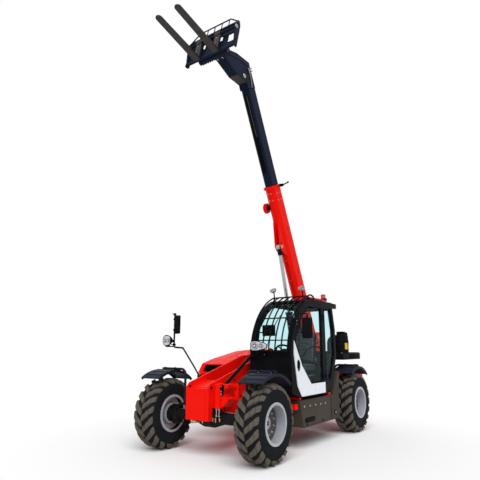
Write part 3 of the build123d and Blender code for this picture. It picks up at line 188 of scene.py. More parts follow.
def rubber(name, color, dusty_color, share):
    s = Shader(name)
    blotch = s.spread(s.noise(7.0, 6.0, 0.7), 0.5 - share / 2, 0.75)
    grit = s.spread(s.noise(90.0, 5.0, 0.75), 0.42, 0.66)
    tone = s.mix(s.math("MULTIPLY", s.math("ADD", blotch, 0.45), grit), color, dusty_color)
    rough = s.spread(s.noise(30.0), 0.3, 0.7, 0.72, 0.95)
    height = s.math("ADD", s.noise(140.0, 5.0, 0.7), s.math("MULTIPLY", s.cells(60.0), 0.6))
    return s.principled(tone, rough, s.bump(height, 0.5, 0.0025), Specular_IOR_Level=0.03)


def metal(name, color, stain, roughness, brushed=None, stain_share=0.5, metallic=1.0):
    s = Shader(name)
    patch = s.spread(s.noise(11.0, 6.0, 0.7), 0.62 - stain_share / 3, 0.72)
    tone = s.mix(s.math("MULTIPLY", patch, stain_share), color, stain)
    fine = s.noise(60.0, 4.0, 0.6, stretch=brushed or (1, 1, 1))
    rough = s.spread(fine, 0.3, 0.7, roughness - 0.04, roughness + 0.10)
    rough = s.math("ADD", rough, s.math("MULTIPLY", patch, stain_share * 0.35))
    return s.principled(tone, rough, s.bump(fine, 0.12, 0.0005, 0.002), Metallic=metallic)


def moulded(name, color, worn, roughness=0.55):
    """Grained plastic that has faded a little on its level faces."""
    s = Shader(name)
    fade = s.math("MULTIPLY", s.facing_up(), s.spread(s.noise(5.0, 4.0), 0.3, 0.7, 0.05, 0.35))
    tone = s.mix(fade, color, worn)
    tone = s.mix(s.spread(s.noise(70.0, 5.0, 0.7), 0.6, 0.8, 0.0, 0.35), tone, worn)
    grain = s.cells(900.0)
    rough = s.spread(s.noise(20.0), 0.3, 0.7, roughness - 0.06, roughness + 0.12)
    return s.principled(tone, rough, s.bump(grain, 0.18, 0.0006, 0.003), Specular_IOR_Level=0.03)


def pane(name, tint, haze, dirt):
    """Thin safety glass: tinted, with wiped dirt, and brighter where it is seen at a slant."""
    s = Shader(name)
    clear = s.node("ShaderNodeBsdfTransparent")
    clear.inputs[0].default_value = (*tint, 1.0)
    mirror = s.node("ShaderNodeBsdfGlossy")
    mirror.inputs["Color"].default_value = (0.86, 0.95, 0.97, 1.0)
    smear = s.noise(6.0, 5.0, 0.65, stretch=(1.0, 1.0, 0.25))
    s.feed(mirror.inputs["Roughness"], s.spread(smear, 0.3, 0.7, 0.015, 0.09))
    slant = s.node("ShaderNodeLayerWeight").outputs["Facing"]
    share = s.math("ADD", s.math("MULTIPLY", s.math("POWER", slant, 5.0), 0.25), haze)
    film = s.node("ShaderNodeBsdfDiffuse")
    film.inputs["Color"].default_value = (0.50, 0.60, 0.60, 1.0)
    glass = s.node("ShaderNodeMixShader")
    s.feed(glass.inputs[0], share)
    s.tree.links.new(clear.outputs[0], glass.inputs[1])
    s.tree.links.new(mirror.outputs[0], glass.inputs[2])
    total = s.node("ShaderNodeMixShader")
    s.feed(total.inputs[0], s.spread(smear, 0.46, 0.8, dirt * 0.2, dirt))
    s.tree.links.new(glass.outputs[0], total.inputs[1])
    s.tree.links.new(film.outputs[0], total.inputs[2])
    s.tree.links.new(total.outputs[0], s.output.inputs[0])
    return s.material


def lens(name, color, ribs):
    """Moulded lamp lens with optic ribs."""
    s = Shader(name)
    wave = s.node("ShaderNodeTexWave", bands_direction="Y")
    s.feed(wave.inputs["Vector"], s.place)
    wave.inputs["Scale"].default_value = ribs
    film = s.mix(s.spread(s.noise(40.0, 4.0), 0.5, 0.8, 0.0, 0.25), color, (0.6, 0.6, 0.58))
    return s.principled(film, s.spread(s.noise(25.0), 0.3, 0.7, 0.03, 0.12),
                        s.bump(wave.outputs["Fac"], 0.35, 0.002), IOR=1.45,
                        Transmission_Weight=0.75, Coat_Weight=0.4)


def vinyl(name, color, worn):
    """Grained seat cover, paler where it is worn."""
    s = Shader(name)
    crease = s.cells(190.0, stretch=(1.0, 1.0, 1.3))
    tone = s.mix(s.spread(s.noise(8.0, 5.0, 0.6), 0.42, 0.75, 0.0, 0.6), color, worn)
    height = s.math("ADD", crease, s.math("MULTIPLY", s.noise(30.0, 4.0), 0.4))
    rough = s.spread(s.noise(14.0), 0.3, 0.7, 0.42, 0.62)
    return s.principled(tone, rough, s.bump(height, 0.35, 0.0012), Sheen_Weight=0.15)


DUST = (0.34, 0.29, 0.23)
RED = painted("red_paint", (0.90, 0.008, 0.003), (0.84, 0.006, 0.002), 0.32, (0.30, 0.06, 0.04),
              0.4, coat=0.02, edge_wear_and_highlight=(0.50, 0.02, 0.015), sheen=0.035, level_dust=0.02)
WHITE = painted("white_paint", (0.80, 0.83, 0.88), (0.77, 0.80, 0.86), 0.22, DUST, 0.85, coat=0.3,
                level_dust=0.02)
# black paint: its pale edge colour is partly edge wear, partly a painted highlight
BLACK = painted("black_paint", (0.0050, 0.0055, 0.0075), (0.008, 0.009, 0.011), 0.30,
                (0.05, 0.045, 0.04), 0.7, edge_wear_and_highlight=(0.030, 0.032, 0.038), sheen=0.02,
                level_dust=0.03)
TANK = painted("tank_paint", (0.050, 0.042, 0.033), (0.062, 0.052, 0.041), 0.46,
               (0.13, 0.11, 0.09), 0.9, edge_wear_and_highlight=(0.10, 0.09, 0.075), sheen=0.03)
# boom paint: its pale edge colour is partly edge wear, partly a painted highlight
BLUE = painted("boom_paint", (0.0055, 0.009, 0.022), (0.008, 0.013, 0.031), 0.28,
               (0.05, 0.05, 0.05), 0.4, edge_wear_and_highlight=(0.05, 0.055, 0.07), sheen=0.03,
               level_dust=0.03)
CAST = painted("cast", (0.006, 0.006, 0.007), (0.012, 0.011, 0.011), 0.5, (0.12, 0.10, 0.085), 0.8,
               peel=0.4, sheen=0.04)
# dark grey-brown: on the wheel disc it is painted shade of the deep dish, with some dirt; on the
# inner boom it is the pads' wear
SHADE_AND_WEAR_GREY = painted("painted_shade_and_wear_grey", (0.055, 0.050, 0.045), (0.085, 0.075, 0.065), 0.42, (0.20, 0.17, 0.14),
               0.8, sheen=0.25)
ENGINE = painted("engine_metal", (0.10, 0.10, 0.10), (0.15, 0.14, 0.13), 0.5, DUST, 0.9, peel=0.4)
TREAD = rubber("tyre_tread", (0.085, 0.077, 0.064), (0.150, 0.128, 0.100), 0.5)
WALL = rubber("tyre_wall", (0.010, 0.011, 0.014), (0.026, 0.025, 0.025), 0.1)
HOSE = rubber("hose_rubber", (0.007, 0.007, 0.008), (0.03, 0.028, 0.026), 0.1)
SEAL = rubber("seal_rubber", (0.006, 0.006, 0.007), (0.025, 0.025, 0.024), 0.0)
SILVER = painted("rim_paint", (0.40, 0.41, 0.45), (0.32, 0.33, 0.37), 0.30, DUST, 0.8, coat=0.2,
                 edge_wear_and_highlight=(0.60, 0.60, 0.62))
FORGED = metal("fork_steel", (0.018, 0.017, 0.017), (0.13, 0.070, 0.042), 0.42,
               brushed=(0.25, 1.0, 1.0), stain_share=0.40, metallic=0.4)
CHROME = metal("rod_chrome", (0.40, 0.41, 0.43), (0.20, 0.19, 0.18), 0.14,
               brushed=(1, 1, 0.2), stain_share=0.2)
STEEL = metal("zinc_steel", (0.40, 0.39, 0.37), (0.20, 0.17, 0.14), 0.32, stain_share=0.5)
BRASS = metal("brass", (0.70, 0.48, 0.20), (0.30, 0.20, 0.10), 0.28, stain_share=0.4)
PLASTIC = moulded("black_plastic", (0.006, 0.006, 0.007), (0.022, 0.022, 0.024))
FENDER = moulded("fender_plastic", (0.014, 0.017, 0.027), (0.040, 0.047, 0.066), 0.36)
CONSOLE = moulded("console_plastic", (0.008, 0.011, 0.012), (0.022, 0.026, 0.027), 0.6)
YELLOW = moulded("yellow_band", (0.62, 0.40, 0.03), (0.50, 0.38, 0.14), 0.5)
GLASS = pane("glass", (0.875, 0.965, 0.975), 0.001, 0.006)
COVER = pane("lamp_cover", (0.97, 0.97, 0.97), 0.03, 0.04)
AMBER = lens("amber_lens", (0.95, 0.26, 0.02), 90.0)
RED_LENS = lens("red_lens", (0.75, 0.02, 0.015), 90.0)
MIRROR = metal("mirror_face", (0.60, 0.63, 0.66), (0.42, 0.44, 0.45), 0.06, stain_share=0.3)
SCREEN = moulded("dark_screen", (0.010, 0.014, 0.018), (0.05, 0.06, 0.06), 0.14)
VINYL = vinyl("seat_vinyl", (0.012, 0.012, 0.013), (0.040, 0.038, 0.037))
MESH = moulded("dark_mesh", (0.004, 0.004, 0.005), (0.015, 0.014, 0.014), 0.7)

FINISHES = {
    "red_paint": RED, "white_paint": WHITE, "black_paint": BLACK, "boom_paint": BLUE, "cast": CAST,
    "tyre": WALL, "rim_paint": SILVER, "fork_steel": FORGED, "rod_chrome": CHROME, "glass": GLASS,
    "black_plastic": PLASTIC, "engine_metal": ENGINE, "seat_cover": VINYL}
OWN_FINISH = {"side_tank": TANK, "steering_column": CONSOLE, "mirrors": PLASTIC,
              **{f"fender_{station}": FENDER for station in STATION_NAMES}}
SLOT_OF = {row["node"]: row["material_slot"] for row in frame["record"]["subparts"]}
for node, shown in NODES.items():
    shown.data.materials.clear()
    shown.data.materials.append(OWN_FINISH.get(node, FINISHES[SLOT_OF[node]]))


# ---------------------------------------------------------------- mesh pieces
class Piece:
    """A mesh piece made of several solids, each with its own material."""

    def __init__(self, name, place=Matrix.Identity(4)):
        self.name, self.place = name, place
        self.verts, self.faces, self.finish, self.materials = [], [], [], []

    def add(self, verts, faces, material, place=Matrix.Identity(4)):
        """Adds points and faces of one material, moved by place and then by the piece's own."""
        if material not in self.materials:
            self.materials.append(material)
        start, index = len(self.verts), self.materials.index(material)
        self.verts += [self.place @ (place @ Vector(v)) for v in verts]
        self.faces += [[start + i for i in face] for face in faces]
        self.finish += [index] * len(faces)
        return self

    def shaped(self, build, material, place=Matrix.Identity(4)):
        """Adds what build makes in a bmesh."""
        form = bmesh.new()
        build(form)
        bmesh.ops.recalc_face_normals(form, faces=form.faces)
        form.verts.index_update()
        self.add([v.co.copy() for v in form.verts],
                 [[v.index for v in f.verts] for f in form.faces], material, place)
        form.free()
        return self

    def block(self, low, high, material, edge=0.004, place=Matrix.Identity(4), steps=2):
        """Box between two corners with rounded edges."""
        def build(form):
            bmesh.ops.create_cube(form, size=1.0)
            centre = [(a + b) / 2 for a, b in zip(low, high)]
            size = [abs(b - a) for a, b in zip(low, high)]
            for v in form.verts:
                v.co = Vector([c + k * s for c, k, s in zip(centre, v.co, size)])
            bmesh.ops.bevel(form, geom=form.edges[:], offset=min(edge, min(size) * 0.45),
                            segments=steps, profile=0.5, affect="EDGES")
        return self.shaped(build, material, place)

    def plate(self, outline, low, high, material, axis="y", edge=0.002, place=Matrix.Identity(4)):
        """Prism over an outline, along y (x, z points), x (y, z points) or z (x, y points)."""
        def point(a, b, at):
            return {"y": (a, at, b), "x": (at, a, b), "z": (a, b, at)}[axis]

        def build(form):
            face = form.faces.new([form.verts.new(point(a, b, low)) for a, b in outline])
            moved = bmesh.ops.extrude_face_region(form, geom=[face])["geom"]
            step = Vector(point(0, 0, high - low))
            bmesh.ops.translate(form, verts=[v for v in moved if isinstance(v, bmesh.types.BMVert)],
                                vec=step)
            if edge:
                bmesh.ops.bevel(form, geom=form.edges[:], offset=edge, segments=2, profile=0.5,
                                affect="EDGES", clamp_overlap=True)
        return self.shaped(build, material, place)

    def lathe(self, profile, material, at, along, turns=32, closed=False):
        """Solid of revolution: (distance along, radius) points about an axis from at."""
        turn = Vector((0, 0, 1)).rotation_difference(Vector(along)).to_matrix().to_4x4()
        place = Matrix.Translation(at) @ turn
        verts, faces, rings = [], [], len(profile)
        for i in range(turns):
            angle = 2 * pi * i / turns
            verts += [(r * cos(angle), r * sin(angle), t) for t, r in profile]
        for i in range(turns):
            here, there = i * rings, (i + 1) % turns * rings
            for j in range(rings if closed else rings - 1):
                k = (j + 1) % rings
                faces.append([here + j, there + j, there + k, here + k])
        if not closed:
            for j in (0, rings - 1):
                if profile[j][1] > 1e-6:
                    faces.append([i * rings + j for i in range(turns)])
        return self.add(verts, faces, material, place)

    def loft(self, rings, material):
        """Closed skin over rings that have the same number of points."""
        n, last = len(rings[0]), len(rings) - 1
        faces = [[i * n + k, i * n + (k + 1) % n, (i + 1) * n + (k + 1) % n, (i + 1) * n + k]
                 for i in range(last) for k in range(n)]
        faces += [list(range(n)), [last * n + k for k in range(n)]]
        return self.add([p for ring in rings for p in ring], faces, material)

    def cap(self, edge, face, material, at, along, turns=32):
        """Round cap with a chamfer: edge and face are (height, radius) at its ends."""
        self.lathe([(-0.001, edge[1]), edge, face, (face[0], 0.0)], material, at, along, turns)

    def bolt(self, at, along, radius, material=None):
        """Washer and chamfered hexagon head."""
        material = material or STEEL
        self.lathe([(0, radius * 1.05), (radius * 0.16, radius * 1.05)], material, at, along, 16)
        return self.lathe([(radius * 0.14, radius * 0.84), (radius * 0.62, radius * 0.84),
                           (radius * 0.74, radius * 0.66)], material, at, along, 6)

    def bolt_ring(self, centre, along, spread, count, radius, phase=0.0):
        """Bolts round an axis that runs along x, y or z."""
        first, second = [axis for axis, share in zip(Matrix.Identity(3), along) if not share]
        for at in around(count, phase):
            self.bolt(Vector(centre) + (first * cos(at) + second * sin(at)) * spread, along, radius)

    def tube(self, points, radius, material, bend=0.0, sides=10, waves=None):
        """Round tube through points with its corners rounded; waves=(pitch, depth) ribs it."""
        line = rounded([Vector(p) for p in points], bend or radius * 2)
        if waves:
            line = evenly(line, waves[0] / 4)
        side = (line[1] - line[0]).orthogonal().normalized()
        verts, faces = [], []
        for i, p in enumerate(line):
            ahead = (line[min(i + 1, len(line) - 1)] - line[max(i - 1, 0)]).normalized()
            side = (side - ahead * side.dot(ahead)).normalized()
            up = ahead.cross(side)
            r = radius - (waves[1] if waves and i % 4 < 2 else 0.0)
            verts += [p + (side * cos(2 * pi * k / sides) + up * sin(2 * pi * k / sides)) * r
                      for k in range(sides)]
        for i in range(len(line) - 1):
            for k in range(sides):
                n = (k + 1) % sides
                faces.append([i * sides + k, i * sides + n, (i + 1) * sides + n,
                              (i + 1) * sides + k])
        faces.append(list(reversed(range(sides))))
        faces.append([(len(line) - 1) * sides + k for k in range(sides)])
        return self.add(verts, faces, material)

    def done(self, body, crease=32.0):
        """Makes the object, shades it smooth up to its creases and lets it ride on body."""
        mesh = bpy.data.meshes.new(self.name)
        mesh.from_pydata([tuple(v) for v in self.verts], [], self.faces)
        for material in self.materials:
            mesh.materials.append(material)
        mesh.polygons.foreach_set("material_index", self.finish)
        form = bmesh.new()
        form.from_mesh(mesh)
        bmesh.ops.recalc_face_normals(form, faces=form.faces)
        form.to_mesh(mesh)
        form.free()
        mesh.polygons.foreach_set("use_smooth", [True] * len(mesh.polygons))
        mesh.set_sharp_from_angle(angle=radians(crease))
        made = placed(self.name, mesh)
        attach(made, body)
        return made


def placed(name, data):
    """New object in the scene."""
    made = bpy.data.objects.new(name, data)
    bpy.context.scene.collection.objects.link(made)
    return made


def around(count, phase=0.0):
    """Angles that share out a full turn."""
    return [2 * pi * i / count + phase for i in range(count)]


def rounded(points, bend):
    """Polyline with an arc at each inner corner."""
    line = [points[0]]
    for before, corner, after in zip(points, points[1:], points[2:]):
        a, b = (before - corner), (after - corner)
        room = min(a.length, b.length) * 0.45
        a.normalize(), b.normalize()
        half = a.angle(b) / 2
        if half > radians(89):
            line.append(corner)
            continue
        cut = min(bend / tan(half), room)
        start, end = corner + a * cut, corner + b * cut
        for i in range(7):
            t = i / 6
            line.append(start * (1 - t) ** 2 + corner * 2 * t * (1 - t) + end * t * t)
    return line + [points[-1]]


def evenly(line, step):
    """The same line with points a step apart."""
    out, left = [line[0]], step
    for a, b in zip(line, line[1:]):
        length, at = (b - a).length, left
        while at < length:
            out.append(a.lerp(b, at / length))
            at += step
        left = at - length
    return out + [line[-1]]


# ---------------------------------------------------------------- places taken from the frame
WHEEL_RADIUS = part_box("tyre_front_left")[1].z / 2
WHEEL_HALF = (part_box("tyre_front_left")[1].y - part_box("tyre_front_left")[0].y) / 2
STATIONS = {}
for station in STATION_NAMES:
    low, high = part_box(f"tyre_{station}")
    STATIONS[station] = ((low + high) / 2, 1 if high.y > 0 else -1)
BOOM_Y = -0.08
BOOM_PIVOT = Vector((-1.911, BOOM_Y, 1.75))
BOOM_ANGLE = radians(64.3)
FORK_ANGLE = radians(13.4)


def local(origin, rise):
    """Frame whose x axis rises from the row's x axis by an angle."""
    return Matrix.Translation(origin) @ Matrix.Rotation(-rise, 4, "Y")


BOOM = local(BOOM_PIVOT, BOOM_ANGLE)
FORK_PIVOT = Vector((6.1, 0, -0.86))                 # in the boom's frame, as is TILT_FOOT
TILT_FOOT = Vector((5.64, 0, -0.18))
CARRIAGE = local(BOOM @ FORK_PIVOT, FORK_ANGLE)
SHAFT_X, SHAFT_Z = 0.189, 0.120                      # fork shaft, in the carriage's frame
LIFT_FOOT = Vector((-1.400, BOOM_Y, 0.950))
LIFT_LENGTH = 2.7161                                 # between the lift cylinder's pins
LIFT = local(LIFT_FOOT, atan2(0.96574, 0.259512))
TILT = local(BOOM @ TILT_FOOT, atan2(0.344135, 0.93892))
ROOF_Z = 2.364
CAB_LOW, CAB_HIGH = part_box("cab_shell")
GLASS_ARC = Vector((-0.138, 0, 1.39))
GLASS_RADIUS = 1.026


def arc_at(radius, angle, y):
    """Point on the windscreen's arc family, degrees above level."""
    return Vector((GLASS_ARC.x + radius * cos(radians(angle)), y,
                   GLASS_ARC.z + radius * sin(radians(angle))))


# ---------------------------------------------------------------- tyres
LUGS = 19
LUG_HEIGHT = 0.034
SHOULDER = 0.085


def tread_point(s, depth):
    """(radius, y) across the tread at arc length s from the centre, sunk by depth."""
    crown = WHEEL_HALF - SHOULDER
    if abs(s) <= crown:
        return WHEEL_RADIUS - 0.0005 - depth, s
    turn = min((abs(s) - crown) / SHOULDER, pi / 2)
    r, side = SHOULDER - depth, 1 if s > 0 else -1
    radius = WHEEL_RADIUS - 0.0005 - SHOULDER + r * cos(turn)
    return radius, side * (crown + r * sin(turn))


# one bar in blocks: arc length from and to, how far each end trails, half widths there
BLOCKS = [(0.006, 0.073, 0.000, 0.052, 0.036, 0.041), (0.079, 0.147, 0.058, 0.110, 0.042, 0.046),
          (0.153, 0.237, 0.116, 0.166, 0.046, 0.051)]


def lug(piece, centre, angle, side, s_from, s_to, lead_from, lead_to, wide_from, wide_to):
    """One block of a tread bar; the bars' inner ends lead when the machine drives forward."""
    verts, steps = [], 5
    for i in range(steps + 1):
        t = i / steps
        s = s_from + (s_to - s_from) * t
        lead = lead_from + (lead_to - lead_from) * t
        wide = wide_from + (wide_to - wide_from) * t
        inset = 0.005 if i in (0, steps) else 0.0
        for offset, depth in ((-wide - 0.006, LUG_HEIGHT + 0.004), (-wide, 0.005),
                              (-wide + 0.006, 0.0), (wide - 0.006, 0.0), (wide, 0.005),
                              (wide + 0.006, LUG_HEIGHT + 0.004)):
            radius, y = tread_point(side * s, depth + (inset if depth < 0.01 else 0.0))
            at = angle - (lead + offset) / WHEEL_RADIUS
            verts.append(centre + Vector((radius * sin(at), y, radius * cos(at))))
    faces = []
    for i in range(steps):
        faces += [[i * 6 + k, i * 6 + k + 1, i * 6 + k + 7, i * 6 + k + 6] for k in range(5)]
    faces += [[k for k in range(6)], [steps * 6 + k for k in range(6)]]
    piece.add(verts, faces, TREAD)


def tyre(station):
    centre = STATIONS[station][0]
    piece = Piece(f"tyre_{station}_tread")
    top, half = WHEEL_RADIUS - LUG_HEIGHT, WHEEL_HALF - 0.002
    wall = [(0.160, 0.262), (0.166, 0.276), (0.1790, 0.2865), (0.183, 0.300), (0.180, 0.306),
            (half - 0.006, 0.330), (half - 0.002, 0.352), (half - 0.006, 0.356),
            (half - 0.001, 0.372), (half - 0.002, 0.392), (half - 0.007, 0.396),
            (half - 0.005, 0.420), (half - 0.014, 0.450), (half - 0.034, 0.474),
            (half - 0.075, top - 0.004), (0.060, top + 0.001), (0.0, top + 0.002)]
    profile = wall + [(-y, r) for y, r in reversed(wall[:-1])]
    piece.lathe(profile, WALL, centre, (0, 1, 0), 96, closed=True)
    pitch = 2 * pi / LUGS
    for i in range(LUGS):
        for side, phase in ((1, 0.0), (-1, 0.5)):
            for span in BLOCKS:
                lug(piece, centre, (i + phase) * pitch, side, *span)
    for i in range(LUGS * 2):
        at = (i + 0.5) * pitch / 2
        for side in (1, -1):
            turn = Matrix.Translation(centre) @ Matrix.Rotation(at, 4, "Y")
            y_in, y_out = side * (half - 0.016), side * (half - 0.0035)
            piece.block((-0.004, min(y_in, y_out), 0.398), (0.004, max(y_in, y_out), 0.446),
                        WALL, 0.0025, turn, 1)
    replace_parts(piece.done(f"wheel_{station}", 40), f"tyre_{station}")


def wheel_details(station):
    """Studs, hub bolts, drain plug, valve and hand holes' rims."""
    centre, outer = STATIONS[station]
    out = Vector((0, outer, 0))
    piece = Piece(f"rim_{station}_fittings")
    disc = centre + out * 0.044
    # dark grey ring over the wheel disc: painted shade of the deep dish, with some dirt
    piece.lathe([(-0.016, 0.2450), (-0.004, 0.2450), (0.006, 0.208), (0.008, 0.200), (0.008, 0.086),
                 (0.0, 0.078), (-0.008, 0.086), (-0.008, 0.200)], SHADE_AND_WEAR_GREY, disc, out, 64, closed=True)
    # near-black sheet inside the barrel's inboard half: painted shade inside the rim
    piece.lathe([(0.084, 0.2465), (0.084, 0.2435), (0.182, 0.2435), (0.182, 0.2465)], CAST, centre,
                -out, 64, closed=True)
    for at in around(10):
        spot = disc + Vector((0.150 * sin(at), outer * 0.008, 0.150 * cos(at)))
        piece.bolt(spot, out, 0.0165)
        piece.lathe([(0.010, 0.007), (0.024, 0.007), (0.027, 0.0045)], STEEL, spot, out, 8)
    cap = centre + out * 0.045
    piece.bolt_ring(cap, out, 0.054, 6, 0.009)
    piece.lathe([(0.0, 0.030), (0.010, 0.028), (0.013, 0.022), (0.013, 0.0)], CAST, cap, out, 24)
    piece.lathe([(0.013, 0.013), (0.021, 0.013), (0.023, 0.010)], STEEL, cap, out, 6)
    valve = centre + Vector((0.0, outer * 0.02, 0.0))
    piece.tube([valve + Vector((0.17, 0, 0.165)), valve + Vector((0.155, outer * 0.03, 0.150)),
                valve + Vector((0.150, outer * 0.075, 0.146))], 0.006, BRASS, 0.01)
    for side in (1, -1):
        flange = centre + Vector((0, side * 0.1795, 0))
        piece.lathe([(0.0, 0.268), (0.0075, 0.270), (0.0080, 0.279), (0.0045, 0.2835),
                     (0.0, 0.2835)], SILVER, flange, (0, side, 0), 72, closed=True)
    piece.done(f"wheel_{station}")


for station in STATIONS:
    tyre(station)
    wheel_details(station)


# ---------------------------------------------------------------- fenders and knuckles
def fender_details(station):
    """Clamps that hold the fender's shell to its tube, and their bolts."""
    centre, outer = STATIONS[station]
    piece = Piece(f"fender_{station}_clamps")
    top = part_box(f"fender_{station}")[1].z
    for y in (-0.12, 0.09):
        at = centre + Vector((-0.075, outer * y, 0))
        piece.block((at.x - 0.055, at.y - 0.018, top - 0.050),
                    (at.x + 0.055, at.y + 0.018, top - 0.030), BLACK, 0.002)
        arch = [(cos(radians(a)) * 0.0255, sin(radians(a)) * 0.0255) for a in range(0, 181, 20)]
        inner = [(x * 0.76, z * 0.76) for x, z in reversed(arch)]
        piece.plate([(at.x + x, top - 0.020 + z) for x, z in arch + inner],
                    at.y - 0.014, at.y + 0.014, BLACK, edge=0.0)
        for x in (-0.042, 0.042):
            piece.bolt((at.x + x, at.y, top - 0.031), (0, 0, 1), 0.009)
    low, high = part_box(f"knuckle_{station}")
    pin = Vector((centre.x, outer * 0.715, 0))
    piece.lathe([(0, 0.044), (0.010, 0.044), (0.014, 0.038), (0.014, 0.0)], CAST,
                pin + Vector((0, 0, low.z)), (0, 0, -1), 28)
    piece.bolt_ring((pin.x, pin.y, low.z - 0.013), (0, 0, -1), 0.030, 4, 0.0075, pi / 4)
    piece.bolt_ring((pin.x, pin.y, high.z - 0.0005), (0, 0, 1), 0.028, 4, 0.010, pi / 4)
    leg = Vector((centre.x - 0.075, outer * 0.600, high.z - 0.001))
    piece.lathe([(0, 0.036), (0.008, 0.036), (0.024, 0.0215), (0.024, 0.015)], BLACK, leg,
                (0, 0, 1), 24)
    piece.done(f"steer_{station}")


for station in STATIONS:
    fender_details(station)


# ---------------------------------------------------------------- frame, axles and nose
def axle_details():
    """Cover bolts and the clamped brake pipes of both axles."""
    piece = Piece("axle_fittings")
    for x, face in ((STATIONS["front_left"][0].x, 1), (STATIONS["rear_left"][0].x, -1)):
        z = WHEEL_RADIUS
        for side in (1, -1):
            piece.bolt_ring((x, side * 0.0895, z), (0, side, 0), 0.118, 10, 0.010, pi / 2)
        piece.lathe([(0.0, 0.060), (0.045, 0.056), (0.055, 0.036), (0.085, 0.034), (0.090, 0.0)],
                    CAST, (x - face * 0.125, 0, z), (-face, 0, 0), 32)
        piece.bolt_ring((x - face * 0.168, 0, z), (-face, 0, 0), 0.045, 6, 0.007, pi / 2)
        for side in (1, -1):
            piece.tube([(x + face * 0.02, side * 0.10, z + 0.128),
                        (x + face * 0.03, side * 0.20, z + 0.098),
                        (x + face * 0.03, side * 0.59, z + 0.084),
                        (x + face * 0.02, side * 0.635, z + 0.06)], 0.0055, STEEL, 0.02, 8)
            for y in (0.26, 0.44, 0.57):
                piece.block((x + face * 0.03 - 0.009, side * y - 0.007, z + 0.070),
                            (x + face * 0.03 + 0.009, side * y + 0.007, z + 0.094), BLACK, 0.002)
    piece.done("chassis")


def nose_details():
    """Stay bracket, rods' sleeves, hydraulic couplings and near-black plugs that paint the shade
    inside the plates' tip holes.
    """
    piece = Piece("nose_fittings")
    for y in (-0.2875, 0.1275):
        for face in (1, -1):
            piece.lathe([(-0.004, 0.0185), (0.004, 0.0185), (0.0045, 0.022), (0.001, 0.0245)],
                        BLACK, (1.753, y + face * 0.0125, 0.973), (0, face, 0), 28, closed=True)
        # near-black plug filling the hole: painted shade inside it
        piece.lathe([(-0.009, 0.0192), (0.009, 0.0192), (0.009, 0.0)], MESH, (1.753, y, 0.973),
                    (0, 1, 0), 28)
    # bracket that holds the foot of the stay
    piece.plate([(0.247, 1.005), (0.262, 1.018), (0.318, 1.018), (0.333, 1.000), (0.322, 0.880),
                 (0.308, 0.862), (0.266, 0.862), (0.252, 0.880)], 1.688, 1.700, BLACK, axis="x",
                edge=0.0025)
    for z in (0.985, 0.930, 0.885):
        piece.bolt((1.700, 0.287, z), (1, 0, 0), 0.0105)
    piece.lathe([(0, 0.031), (0.022, 0.031), (0.028, 0.026), (0.028, 0.0)], BLACK,
                (1.690, 0.285, 0.965), (0.86, 0, -0.50), 24)
    # dark sleeve of the stay between the nose and the cab
    piece.tube([(1.702, 0.285, 0.9588), (0.960, 0.285, 1.395), (0.886, 0.285, 1.395)], 0.0256,
               BLACK, 0.06, 24)
    # levelling cylinder: end rings, sleeves over the two rods and their lock nuts
    for y in (0.200, 0.250):
        piece.lathe([(0, 0.0115), (0.130, 0.0115)], CHROME, (1.700, y, 0.562), (0, 0, 1), 20)
        for z in (0.572, 0.664):
            piece.lathe([(0, 0.019), (0.014, 0.019), (0.017, 0.015)], STEEL, (1.700, y, z),
                        (0, 0, 1), 6)
    piece.plate([(1.672, 0.178), (1.728, 0.178), (1.728, 0.272), (1.672, 0.272)], 0.556, 0.568,
                CAST, axis="z", edge=0.003)
    piece.lathe([(0, 0.0605), (0.006, 0.0605), (0.009, 0.0585)], RED, (1.690, 0.225, 0.985),
                (0, 0, 1), 48)
    # couplings under the nose
    for x, y, tall in ((1.735, 0.215, 0.03), (1.705, 0.265, 0.024), (1.74, 0.165, 0.02),
                       (1.765, -0.205, 0.03), (1.735, -0.25, 0.024), (1.77, -0.15, 0.022),
                       (1.75, -0.02, 0.02)):
        top = 0.558 if y > 0.14 else 0.5165
        piece.lathe([(0, 0.016), (0.012, 0.016), (0.014, 0.012), (0.014 + tall, 0.012)], BRASS,
                    (x, y, top), (0, 0, -1), 6)
        piece.lathe([(0.010 + tall, 0.0085), (0.030 + tall, 0.0085), (0.032 + tall, 0.0)], STEEL,
                    (x, y, top), (0, 0, -1), 12)
    piece.tube([(1.765, -0.205, 0.480), (1.765, -0.205, 0.462), (1.70, -0.16, 0.462),
                (1.66, -0.10, 0.485), (1.60, -0.10, 0.520)], 0.006, STEEL, 0.02, 8)
    piece.tube([(1.735, 0.215, 0.520), (1.735, 0.215, 0.498), (1.70, 0.160, 0.492),
                (1.64, 0.06, 0.500), (1.60, 0.02, 0.525)], 0.006, STEEL, 0.02, 8)
    # fasteners of the nose cover and the side plates
    for x, y in ((1.62, -0.235), (1.62, 0.075), (1.43, -0.235), (1.43, 0.075)):
        z = 0.955 + (1.805 - x) * 0.2289
        piece.bolt((x, y, z - 0.0005), (0.223, 0, 0.975), 0.010, BLACK)
    for x, z in ((1.55, 0.80), (1.55, 0.62), (1.15, 0.95)):
        piece.bolt((x, -0.3005, z), (0, -1, 0), 0.016, BLACK)
    for x, z in ((1.39, 1.02), (1.18, 1.06), (1.00, 0.80)):
        piece.bolt((x, 0.1405, z), (0, 1, 0), 0.014, BLACK)
    piece.done("chassis")


